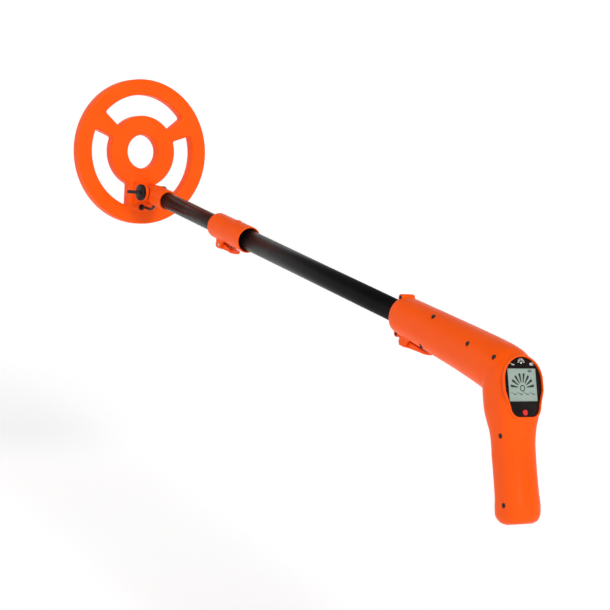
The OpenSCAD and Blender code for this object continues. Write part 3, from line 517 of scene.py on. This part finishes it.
def threaded_rod(name, r, z0, z1, pitch, depth, matrix):
    """A rod with a fine screw thread, closed at both ends."""
    bm = bmesh.new()
    sides, per = 28, 6
    count = int((z1 - z0) / pitch * per)
    rings = []
    for i in range(count + 1):
        z = z0 + (z1 - z0) * i / count
        ends = min(1.0, (z - z0) / 0.8 + 0.35, (z1 - z) / 0.8 + 0.35)
        ring = []
        for k in range(sides):
            a = 2 * math.pi * k / sides
            phase = (z / pitch - k / sides) % 1.0
            cut = depth * abs(2 * phase - 1)
            rr = (r - cut) * min(1.0, 0.72 + 0.28 * ends)
            ring.append(bm.verts.new((rr * math.cos(a), rr * math.sin(a), z)))
        rings.append(ring)
    skin(bm, rings)
    return from_bmesh(name, bm, None, matrix)


# the photograph shows a round black knob on the bolt's far end, over the head
knob = lathe([(0, 12.45), (8.4, 12.45), (8.9, 12.8), (9.0, 13.4), (9.0, 15.4), (8.7, 16.3), (7.9, 16.9), (5.0, 17.2),
              (4.6, 16.6), (0, 16.6)], BOLT_WAY, "bolt_knob", "black", 72, closed=False)
shade(knob)
finish_piece(knob, "coil", "black_plastic")
hexagon = [(3.8 * math.cos(math.radians(60 * k)), 3.8 * math.sin(math.radians(60 * k))) for k in range(6)]
head_steps = [(12.45, 0.25), (12.65, 0), (15.1, 0), (15.6, 0.25), (15.85, 0.7)]
head = levels(with_normals(rounded_outline(hexagon, 0.25, 2)), head_steps, BOLT_WAY, "head")
shank = rod(BOLT_R, -12.5, 12.6, BOLT_WAY, "shank", 32)
thread = threaded_rod("thread", BOLT_R, -32.2, -EAR_OUT, 0.7, 0.32, BOLT_WAY)
bolt = join("pivot_bolt_body", [head, shank, thread], "dark_steel_and_recess_shade")
shade(bolt, math.radians(28))
finish_piece(bolt, "coil", "black_steel", "pivot_bolt")


def knurled(name, r, t, flutes, depth, matrix, mat):
    """A thumb nut: a fluted rim with rounded edges, a raised boss and a bore."""
    bm = bmesh.new()
    sides = flutes * 8
    # (radius, height, share of the flutes' depth)
    profile = [(2.06, 0.0, 0), (r - 0.9, 0.0, 0.2), (r - 0.35, 0.18, 0.7), (r, 0.7, 1), (r, t - 1.1, 1),
               (r - 0.3, t - 0.55, 0.8), (r - 0.95, t - 0.15, 0.3), (r - 1.8, t - 0.02, 0), (5.2, t - 0.2, 0),
               (4.7, t - 0.05, 0), (4.3, t, 0), (2.5, t, 0), (2.06, t - 0.35, 0)]
    rings = []
    for pr, z, share in profile:
        ring = []
        for k in range(sides):
            a = 2 * math.pi * k / sides
            rr = pr - share * depth * (0.5 - 0.5 * math.cos(flutes * a))
            ring.append(bm.verts.new((rr * math.cos(a), rr * math.sin(a), z)))
        rings.append(ring)
    for a, b in zip(rings, rings[1:] + rings[:1]):
        band(bm, a, b)
    return from_bmesh(name, bm, mat, matrix)


nut_way = Matrix.Translation((-12.45, PIVOT_Y, 0)) @ Matrix.Rotation(-math.pi / 2, 4, "Y")
nut = knurled("thumb_nut_body", NUT_R, NUT_T, 20, 0.55, nut_way, "black")
shade(nut, math.radians(40))
finish_piece(nut, "nut", "black_plastic", "thumb_nut")

# ---------- lead from the coil to the knuckle ----------


def tube_along(name, points, r, mat, sides=16, per=6):
    """A round lead along a smooth curve through points."""
    pts = [Vector(p) for p in points]
    ext = [2 * pts[0] - pts[1]] + pts + [2 * pts[-1] - pts[-2]]
    path = []
    for i in range(1, len(ext) - 2):
        p0, p1, p2, p3 = ext[i - 1:i + 3]
        for k in range(per):
            t = k / per
            path.append(0.5 * ((2 * p1) + (p2 - p0) * t + (2 * p0 - 5 * p1 + 4 * p2 - p3) * t * t
                               + (3 * p1 - p0 - 3 * p2 + p3) * t ** 3))
    path.append(pts[-1])
    bm = bmesh.new()
    rings = []
    for i, p in enumerate(path):
        d = (path[min(i + 1, len(path) - 1)] - path[max(i - 1, 0)]).normalized()
        u = Vector((1, 0, 0))
        w = d.cross(u).normalized()
        u = w.cross(d).normalized()
        turns = [2 * math.pi * k / sides for k in range(sides)]
        rings.append([bm.verts.new(p + r * (math.cos(a) * u + math.sin(a) * w)) for a in turns])
    skin(bm, rings)
    return from_bmesh(name, bm, mat)


tip = Vector((0, PIVOT_Y - LEAD_BACK * math.cos(COIL_ANGLE) + GLAND_DROP * math.sin(COIL_ANGLE),
              -LEAD_BACK * math.sin(COIL_ANGLE) - GLAND_DROP * math.cos(COIL_ANGLE)))
way = Vector((0, -math.sin(COIL_ANGLE), math.cos(COIL_ANGLE)))
entry = Vector((0, PIVOT_Y - ENTRY_BACK, -NECK_H))
loop_points = [tip - 6.5 * way, tip, tip + 4 * way, tip + Vector((0, -8.5, 1.6)), tip + Vector((0, -13, 1.8)),
               tip + Vector((0, -17.5, 2.1)), tip + Vector((0, -21.5, 3)), entry + Vector((0, 3.4, -7.6)),
               entry + Vector((0, 1.3, -5.2)), entry + Vector((0, 0.2, -2.6)), entry, entry + Vector((0, 0, 1.8))]
lead = tube_along("coil_lead_body", loop_points, 1.6, "lead")
shade(lead)
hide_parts("coil_lead")
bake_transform(lead)

# ---------- shaft ----------


def tube(name, r, inner, y0, y1, body, node):
    lip = 0.25
    obj = lathe([(inner, y0 + lip), (inner + lip, y0), (r - lip, y0), (r, y0 + lip), (r, y1 - lip), (r - lip, y1),
                 (inner + lip, y1), (inner, y1 - lip)], ALONG_Y, name, "tube", 128)
    shade(obj, math.radians(50))
    return finish_piece(obj, body, "tube_coating", node)


tube("upper_tube_body", UPPER_R, UPPER_IN_R, 128, 494.95, "upper_shaft", "upper_tube")
tube("lower_tube_body", LOWER_R, LOWER_IN_R, 346, 651.45, "lower_shaft", "lower_tube")
soft_copy("middle_collar", "middle_collar_body", 0.45, 3, "orange", "upper_shaft", "orange_plastic")
soft_copy("knuckle", "knuckle_body", 0.4, 3, "orange", "lower_shaft", "orange_plastic")
soft_copy("middle_latch_lever", "middle_lever_body", 0.32, 4, "orange", "middle_latch", "orange_plastic")
soft_copy("handle_latch_lever", "handle_lever_body", 0.32, 4, "orange", "handle_latch", "orange_plastic")
soft_copy("power_button", "power_button_cap", 0.16, 3, "red", "button", "red_plastic")
soft_copy("lead_gland", "lead_gland_body", 0.2, 2, "black", "coil", "black_plastic")
soft_copy("battery", "battery_case", 0.5, 2, "battery", "handle", "battery_case")

# ---------- handle ----------

# stations of the barrel (along, half width, top, bottom) and of the grip's head, in the grip's frame (up, half width,
# back, front, squareness)
BARREL = [(160, 16.2, 16.2, -16.2), (158, 17.4, 17.4, -17.4), (150, 18.2, 18.2, -18.4), (120, 18.8, 18.5, -20),
          (90, 19.5, 18.7, -21.8), (60, 20.3, 18.8, -23.6), (32, 21.2, 18.8, -26), (8, 22, 18.4, -28.5),
          (-4, 22, 17.2, -29), (-12, 21.4, 14.5, -29), (-18, 19.5, 10, -29)]
HEAD = [(8, 10, -17.5, 8, 3), (5, 15.5, -19.5, 12, 3.2), (0, 20, -20.6, 15, 3.6), (-8, 22.4, -21, 17.5, 4.4),
        (-22, 23, -21, 20.5, 4.8), (-38, 22.2, -21, 21.5, 4.6), (-48, 20.4, -20.7, 20.5, 4),
        (-58, 18.5, -19.6, 18.8, 3.2), (-74, 17.5, -18.2, 17.2, 2.8), (-96, 17.5, -17.6, 16.8, 2.8),
        (-114, 17.7, -17.9, 16.8, 2.8),
        (-124, 18.1, -18.4, 18, 2.8), (-131, 18.0, -18.2, 18.8, 2.6), (-135, 17.0, -17.3, 16.4, 2.4),
        (-138, 14.9, -15.3, 12.4, 2.3), (-139.6, 11.6, -11.8, 7.6, 2.2)]
STATION_STEP = 2.0
SHELL = 2                                    # wall of the shells
PANEL_FACE, PANEL_BACK, RIM_OUT, SEAT_FRONT = -19.8, -18.2, -21.0, -16.4   # depths in the grip's frame
LCD_Z, LCD_W, LCD_H = -20.0, 32.3, 28.9
BUTTON_Z = -44.225
LUG_R, LUG_HALF = 3.6, 7.5
LUGS = [(158.5, 16.6), (155.5, -17.4)]       # (along, up), as for the barrel's screws
BARREL_SCREWS = [(99, 14.8), (36, 8), (-2.5, 7.4), (106, -15.4)]
GRIP_SCREWS = [(-5.5, -63), (-3, -122.8)]    # (depth, up) in the grip's frame
SINK, LUG_SINK = 1.6, 1.8                    # depth of the screw heads under the surface
HEAD_HOLE_R, SHANK_HOLE_R = 2.5, 1.4
DOOR_HALF, DOOR_LOW, DOOR_HIGH = 13.7, -119.6, -67.6
DOOR_GAP = 0.3
SEAM = 0.06                                  # half the gap between the two shells


def smooth_stations(stations, step):
    """Stations between the given ones, on a curve that doesn't overshoot."""
    s = np.array(stations, float)
    x = s[:, 0]
    d = np.diff(s, axis=0) / np.diff(x)[:, None]
    m = np.zeros_like(s)
    m[0], m[-1] = d[0], d[-1]
    for i in range(1, len(s) - 1):
        same = d[i - 1] * d[i] > 0
        m[i] = np.where(same, 2 * d[i - 1] * d[i] / np.where(same, d[i - 1] + d[i], 1), 0)
    out = []
    for i in range(len(s) - 1):
        h = x[i + 1] - x[i]
        n = max(1, int(math.ceil(abs(h) / step)))
        for k in range(n):
            t = k / n
            row = ((1 + 2 * t) * (1 - t) ** 2 * s[i] + t * (1 - t) ** 2 * h * m[i]
                   + t * t * (3 - 2 * t) * s[i + 1] + t * t * (t - 1) * h * m[i + 1])
            row[0] = x[i] + t * h
            out.append(row)
    out.append(s[-1])
    return out


def spow(v, p):
    return math.copysign(abs(v) ** p, v)


def oval(half, low, high, squareness, front=None, count=96):
    """Points (across, depth) of a closed superellipse outline, which can be rounder on its front half."""
    out = []
    for k in range(count):
        a = 2 * math.pi * k / count
        n = front if front and math.sin(a) > 0 else squareness
        d = spow(math.sin(a), 2 / n)
        out.append((half * spow(math.cos(a), 2 / n), d * (high if d > 0 else -low)))
    return out


def loft(rings, name, matrix=None):
    bm = bmesh.new()
    skin(bm, [[bm.verts.new(p) for p in ring] for ring in rings])
    return from_bmesh(name, bm, None, matrix)


def barrel_loft(wall, last):
    rings = []
    for y, half, high, low in smooth_stations(BARREL[:last], STATION_STEP):
        mid, h = (high + low) / 2, (high - low) / 2 - wall
        rings.append([(x, y, mid + z) for x, z in oval(half - wall, -h, h, 2.2)])
    return loft(rings, "barrel")


def head_loft(wall, first, last):
    rings = []
    for z, half, back, front, squareness in smooth_stations(HEAD[first:last], STATION_STEP):
        soft = min(squareness, float(np.interp(z, [-78, -60, 20], [2.8, 2.25, 2.25])))
        rings.append([(x, y, z) for x, y in oval(half - wall, back + wall, front - wall, squareness, soft)])
    return loft(rings, "head", GRIP)


def panel_outline(grow, count=40):
    """The display panel's outline as (across, up), counter-clockwise, with a round arch on top."""
    top, foot, corner = 20.75 + grow, 16.25 + grow, 9 + grow
    foot_z = 9 - 26.75
    pts = []
    for k in range(count + 1):
        a = math.pi * k / count
        pts.append((top * math.cos(a), 5.0 + top * math.sin(a)))
    pts += [(-top, 0.5), (-top + 0.15, -4)]
    for k in range(11):
        a = math.pi + math.pi / 2 * k / 10
        pts.append((corner - foot + corner * math.cos(a), foot_z + corner * math.sin(a)))
    for k in range(11):
        a = 1.5 * math.pi + math.pi / 2 * k / 10
        pts.append((foot - corner + corner * math.cos(a), foot_z + corner * math.sin(a)))
    pts += [(top - 0.15, -4), (top, 0.5)]
    return [(x, z + LCD_Z - 1.4) for x, z in pts]


def panel_plate(grow, y0, y1, name):
    return levels(with_normals(panel_outline(grow)), [(y0, 0), (y1, 0)], PANEL_PLANE, name)


def grip_box(half, y0, y1, z0, z1):
    return box((-half, y0, z0), (half, y1, z1), "cutter", GRIP)


def cut_behind(obj, y):
    """Cuts away what lies behind a depth in the grip's frame."""
    return boolean(obj, grip_box(60, y - 90, y, -200, 90), "DIFFERENCE")


outer = barrel_loft(0, len(BARREL))
cut_behind(outer, RIM_OUT)
bead_steps = [(RIM_OUT - 0.15, 0.5), (RIM_OUT - 0.1, 0.2), (RIM_OUT + 0.1, 0), (RIM_OUT + 2, 0)]
bead = levels(with_normals(panel_outline(1.9)), bead_steps, PANEL_PLANE, "bead")
lug_parts = [rod(LUG_R, -LUG_HALF, LUG_HALF, Matrix.Translation((0, y, z)) @ ALONG_X, "lug") for y, z in LUGS]
cheek = with_normals(rounded_outline([(131, -14.3), (149, -14.3), (146, -25.9), (136.4, -25.9)], 0.8, 3))
for s in (-1, 1):
    plane = Matrix.Translation((7.9 * s, 0, 0)) @ SIDE_PLANE
    lug_parts.append(levels(cheek, [(-1.2, 0), (1.2, 0)], plane, "cheek"))
outer = join("outer", [outer, head_loft(0, 0, len(HEAD)), bead] + lug_parts)
remesh(outer, 0.6, 3)

# a soft fold where the barrel runs into the grip, on the finger side
crotch = Vector((0, 27, -31)) * MM
group = outer.vertex_groups.new(name="crotch")
for v in outer.data.vertices:
    d = math.hypot(v.co.y - crotch.y, v.co.z - crotch.z) / (22 * MM)
    if d < 1:
        group.add([v.index], (1 - d * d) ** 2, "REPLACE")
mod = outer.modifiers.new("fold", "SMOOTH")
mod.iterations, mod.factor, mod.vertex_group = 60, 0.9, "crotch"
bake(outer)

# the door in the grip is cut from the same outside
inner_head = head_loft(SHELL, 1, len(HEAD) - 1)
door = copy_of(outer, "battery_door_body")
boolean(door, grip_box(DOOR_HALF, 2, 60, DOOR_LOW, DOOR_HIGH), "INTERSECT")
boolean(door, inner_head, "DIFFERENCE", True)
grooves = [rod(0.5, -7, 7, GRIP @ Matrix.Translation((0, 17.0 + 0.12 * i, -76 - 2.4 * i)) @ ALONG_X, "groove", 16)
           for i in range(5)]
boolean(door, join("grooves", grooves), "DIFFERENCE")
paint(door, "orange")
shade(door)
finish_piece(door, "door", "orange_plastic", "battery_door")

inner_barrel = barrel_loft(SHELL, len(BARREL) - 1)
cut_behind(inner_barrel, SEAT_FRONT)
boolean(inner_barrel, box((-60, 129, -60), (60, 260, 60)), "DIFFERENCE")
cut_behind(inner_head, SEAT_FRONT)
boolean(outer, inner_barrel, "DIFFERENCE")
boolean(outer, inner_head, "DIFFERENCE")

# everything that is cut from both shells
boolean(outer, panel_plate(0.1, -40, PANEL_BACK, "recess"), "DIFFERENCE")
boolean(outer, panel_plate(-2.4, -30, SEAT_FRONT + 3, "window"), "DIFFERENCE")
boolean(outer, rod(14.5, 131, 158, ALONG_Y, sides=96), "DIFFERENCE")
boolean(outer, rod(12.2, 127, 169, ALONG_Y, sides=96), "DIFFERENCE")
slot_cut = [(105.5, -60), (153.5, -60), (153.5, -18.4), (105.5, -18.4)]
boolean(outer, levels(with_normals(slot_cut), [(-6.7, 0), (6.7, 0)], SIDE_PLANE, "slot"), "DIFFERENCE")
boolean(outer, box((-4.2, 142.4, -24), (4.2, 152.9, -8)), "DIFFERENCE")
boolean(outer, rod(1.56, -8.9, 8.9, Matrix.Translation((0, 140, -22.3)) @ ALONG_X, sides=32), "DIFFERENCE")
boolean(outer, grip_box(DOOR_HALF + DOOR_GAP, 0, 60, DOOR_LOW - DOOR_GAP, DOOR_HIGH + DOOR_GAP), "DIFFERENCE")


def side_reach(p):
    """Half width of the barrel at a screw."""
    b = sorted(BARREL)
    ys = [q[0] for q in b]
    half = np.interp(p[0], ys, [q[1] for q in b])
    mid = np.interp(p[0], ys, [(q[2] + q[3]) / 2 for q in b])
    h = np.interp(p[0], ys, [(q[2] - q[3]) / 2 for q in b])
    return half * (1 - (abs(p[1] - mid) / h) ** 2.2) ** (1 / 2.2)


def grip_side(p):
    """Half width of the grip at a screw."""
    g = sorted(HEAD)
    zs = [q[0] for q in g]
    half, back = np.interp(p[1], zs, [q[1] for q in g]), np.interp(p[1], zs, [q[2] for q in g])
    return half * (1 - abs(p[0] / back) ** 3) ** (1 / 3)


recess = [Matrix.Translation((-side_reach(p) + SINK, *p)) for p in BARREL_SCREWS]
recess += [GRIP @ Matrix.Translation((-grip_side(p) + SINK, *p)) for p in GRIP_SCREWS]
recess += [Matrix.Translation((-LUG_HALF + LUG_SINK, *p)) for p in LUGS]
for m in recess:
    boolean(outer, rod(HEAD_HOLE_R, -16, 0, m @ ALONG_X, sides=32), "DIFFERENCE")
    boolean(outer, rod(SHANK_HOLE_R, -1, 20, m @ ALONG_X, sides=24), "DIFFERENCE")

left = copy_of(outer, "handle_left_skin")
boolean(left, box((-80, -120, -200), (-SEAM, 200, 60)), "INTERSECT")
right = copy_of(outer, "handle_right_skin")
boolean(right, box((SEAM, -120, -200), (80, 200, 60)), "INTERSECT")
bpy.data.objects.remove(outer)
for o, node in ((left, "handle_left_shell"), (right, "handle_right_shell")):
    paint(o, "orange")
    shade(o)
    finish_piece(o, "handle", "orange_plastic", node)

# ---------- display ----------

panel = levels(with_normals(panel_outline(-0.03)),
               [(PANEL_BACK, 0), (PANEL_FACE + 0.25, 0), (PANEL_FACE + 0.07, 0.08), (PANEL_FACE, 0.25)], PANEL_PLANE,
               "display_panel_body")
boolean(panel, grip_box(LCD_W / 2, -30, -10, LCD_Z - LCD_H / 2, LCD_Z + LCD_H / 2), "DIFFERENCE")
boolean(panel, rod(3.05, -30, -10, GRIP @ Matrix.Translation((0, 0, BUTTON_Z)) @ ALONG_Y), "DIFFERENCE")
paint(panel, "panel")
shade(panel)
finish_piece(panel, "handle", "panel_plastic", "display_panel")

GLASS = PANEL_FACE + 0.9                     # face of the CAD's display pane


def flat(shapes, y, name, mat, thick=0.05):
    """Thin raised shapes, each an outline of (across, up) points."""
    parts = []
    for s in shapes:
        area = sum(a[0] * b[1] - b[0] * a[1] for a, b in zip(s, s[1:] + s[:1]))
        s = s if area > 0 else s[::-1]
        parts.append(levels(with_normals(s), [(y, 0), (y - thick, 0)], PANEL_PLANE, "mark"))
    obj = join(name, parts, mat)
    shade(obj)
    return finish_piece(obj, "handle", "lcd" if mat == "ink" else "panel_plastic")


def ray(cx, cz, angle, r0, r1, w0, w1):
    """A drop that widens outwards, with round ends."""
    d = Vector((math.cos(angle), math.sin(angle)))
    n = Vector((-d[1], d[0]))
    c = Vector((cx, cz))
    pts = []
    for centre, w, start in ((c + d * (r1 - w1), w1, -math.pi / 2), (c + d * (r0 + w0), w0, math.pi / 2)):
        for k in range(9):
            a = start + math.pi * k / 8
            pts.append(tuple(centre + w * (math.cos(a) * d + math.sin(a) * n)))
    return pts


def rect(cx, cz, w, h):
    return rounded_outline([(cx - w / 2, cz - h / 2), (cx + w / 2, cz - h / 2), (cx + w / 2, cz + h / 2),
                            (cx - w / 2, cz + h / 2)], 0.1, 2)


def disc(cx, cz, r, count=32):
    turns = [2 * math.pi * k / count for k in range(count)]
    return [(cx + r * math.cos(a), cz + r * math.sin(a)) for a in turns]


def ring_shape(cx, cz, r0, r1, count):
    """A ring as one outline with a hairline slit."""
    slit = 0.004
    a, b = disc(cx, cz, r1, count), disc(cx, cz, r0, count)
    return a + [(a[0][0], a[0][1] - slit), (b[0][0], b[0][1] - slit)] + b[::-1]


def battery_mark(cx, cz, w, h):
    """A battery sign: a case with its nub to the left, and bars in it."""
    t = h * 0.13
    case = [rect(cx, cz + h / 2 - t / 2, w, t), rect(cx, cz - h / 2 + t / 2, w, t),
            rect(cx - w / 2 + t / 2, cz, t, h), rect(cx - w / 2 - t * 0.6, cz, t * 1.2, h * 0.5),
            rect(cx + w / 2 - t / 2, cz + h * 0.33, t, h * 0.34), rect(cx + w / 2 - t / 2, cz - h * 0.33, t, h * 0.34)]
    return case + [rect(cx - w * 0.31 + w * 0.17 * i, cz, w * 0.135, h * 0.56) for i in range(4)]


def detector_mark(cx, cz, w):
    """A small sign of a detector and the hand that holds it."""
    u = w / 24
    shapes = [ring_shape(cx - 10 * u, cz + 4.2 * u, 1.3 * u, 2.2 * u, 20),
              [(cx - 8.2 * u, cz + 3.9 * u), (cx - 8.0 * u, cz + 3.0 * u), (cx - 2.4 * u, cz + 0.1 * u),
               (cx - 2.0 * u, cz + 1.2 * u)],
              rounded_outline([(cx - 3.6 * u, cz + 0.4 * u), (cx + 1.6 * u, cz - 3.4 * u),
                               (cx + 3.4 * u, cz - 0.8 * u), (cx - 1.0 * u, cz + 2.2 * u)], 1.0 * u, 3),
              rounded_outline([(cx + 0.6 * u, cz - 4.4 * u), (cx + 11.6 * u, cz - 4.4 * u),
                               (cx + 11.6 * u, cz - 2.0 * u), (cx + 8.6 * u, cz - 0.4 * u),
                               (cx + 5.2 * u, cz - 1.6 * u)], 0.9 * u, 3)]
    return shapes


RAYS = [math.radians(a) for a in (170, 147, 124.5, 101.5, 78.5, 55.5, 33, 10)]
marks = [ray(0, LCD_Z - 2.95, a, 5.1, 13.4, 0.38, 1.15) for a in RAYS]
marks += battery_mark(9.6, LCD_Z + 12.0, 4.0, 1.9)
for i in range(4):
    marks += detector_mark(-10.0 + 6.85 * i, LCD_Z - 7.6, 5.9)
ring_mark = lathe([(2.0, GLASS), (2.85, GLASS), (2.85, GLASS - 0.05), (2.0, GLASS - 0.05)],
                  GRIP @ Matrix.Translation((0, 0, LCD_Z - 2.95)) @ ALONG_Y, "lcd_ring", "ink", 48)
shade(ring_mark)
finish_piece(ring_mark, "handle", "lcd")
flat(marks, GLASS, "lcd_signs", "ink")

prints = [ray(-0.3, LCD_Z + 19.15, a, 1.75, 4.05, 0.08, 0.32) for a in RAYS] + [disc(-0.3, LCD_Z + 19.15, 0.86)]
prints += detector_mark(-10.7, LCD_Z + 18.1, 5.4) + battery_mark(11.5, LCD_Z + 18.1, 3.9, 2.3)
flat(prints, PANEL_FACE, "panel_signs", "print", 0.03)

# ---------- soft pieces: the springs and the button's dome, copied from the CAD ---


def soft_piece(node, name, body, mat, slot):
    """A copy of a CAD spring or dome in place of the node, with a mesh of its own."""
    obj = paint(copy_of(nodes[node], name), mat)
    shade(obj, math.radians(50))
    finish_piece(obj, body, slot, node)
    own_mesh(obj)


soft_piece("middle_latch_spring", "middle_spring_wire", "upper_shaft", "steel", "steel")
soft_piece("handle_latch_spring", "handle_spring_wire", "handle", "steel", "steel")
soft_piece("button_dome", "button_dome_skin", "handle", "rubber", "rubber")

# ---------- CAD pieces that stay as they are ----------

FINISH = [
    ("steel", ["coil_cover_screws", "knuckle_screw", "collar_screw", "middle_latch_pin", "handle_latch_pin"]),
    # the handle's screw heads are painted near black as painted shade, so their recesses look deep and dark
    ("dark_steel_and_recess_shade", ["handle_screws"]),
    ("rubber", ["friction_washers", "lead_grommet", "middle_latch_pad", "handle_latch_pad"]),
    ("lead", ["tube_lead", "curly_lead", "handle_lead", "battery_leads"]),
    ("black", ["handle_bush", "board_chips", "buzzer", "button_switch", "battery_clip"]),
    ("white", ["lower_tube_bush", "lcd_frame"]),
    ("board", ["circuit_board", "coil_junction_board"]),
    ("copper", ["transmit_winding", "receive_winding"]),
    ("lcd", ["lcd_glass"]),
]
for mat, names in FINISH:
    for n in names:
        paint(nodes[n], mat)

# ---------- floor, light ----------

FLOOR_Z = -0.42                              # metres
FLOOR_GLOW = 0.27                            # keeps the paper white in the object's shadow
bm = bmesh.new()
bmesh.ops.create_grid(bm, x_segments=8, y_segments=8, size=40)
floor = from_bmesh("floor", bm, None, Matrix.Scale(1 / MM, 4))
floor.location.z = FLOOR_Z
paper, tree, shader = node_tree("floor_paper")
tree.links.new(ramp(tree, noise(tree, 3.0), [(0.3, (0.93, 0.93, 0.93)), (0.7, (0.95, 0.95, 0.95))]),
               shader.inputs["Base Color"])
shader.inputs["Roughness"].default_value = 0.9
shader.inputs["Specular IOR Level"].default_value = 0.0
shader.inputs["Emission Color"].default_value = (1, 1, 1, 1)
shader.inputs["Emission Strength"].default_value = FLOOR_GLOW
floor.data.materials.append(paper)

# a studio room: white walls, and a dimmer ceiling
world = bpy.data.worlds.new("studio")
world.use_nodes = True
tree = world.node_tree
coords = tree.nodes.new("ShaderNodeTexCoord")
parts = tree.nodes.new("ShaderNodeSeparateXYZ")
tree.links.new(coords.outputs["Generated"], parts.inputs["Vector"])
room = ramp(tree, parts.outputs["Z"],
            [(0.0, (1.0, 1.0, 1.0)), (0.22, (0.97, 0.97, 0.97)), (0.45, (0.28, 0.28, 0.28))])
tree.links.new(room, tree.nodes["Background"].inputs["Color"])
bpy.context.scene.world = world


def sun(name, direction, strength, angle):
    """A soft sun that shines from a direction."""
    data = bpy.data.lights.new(name, "SUN")
    data.energy, data.angle = strength, math.radians(angle)
    obj = bpy.data.objects.new(name, data)
    bpy.context.scene.collection.objects.link(obj)
    obj.rotation_mode = "QUATERNION"
    obj.rotation_quaternion = Vector(direction).to_track_quat("Z", "Y")


sun("key", (-0.10, -0.72, 0.80), 1.60, 26)
sun("left", (-0.85, -0.25, 0.55), 0.30, 40)
bpy.context.scene.view_settings.view_transform = "Standard"
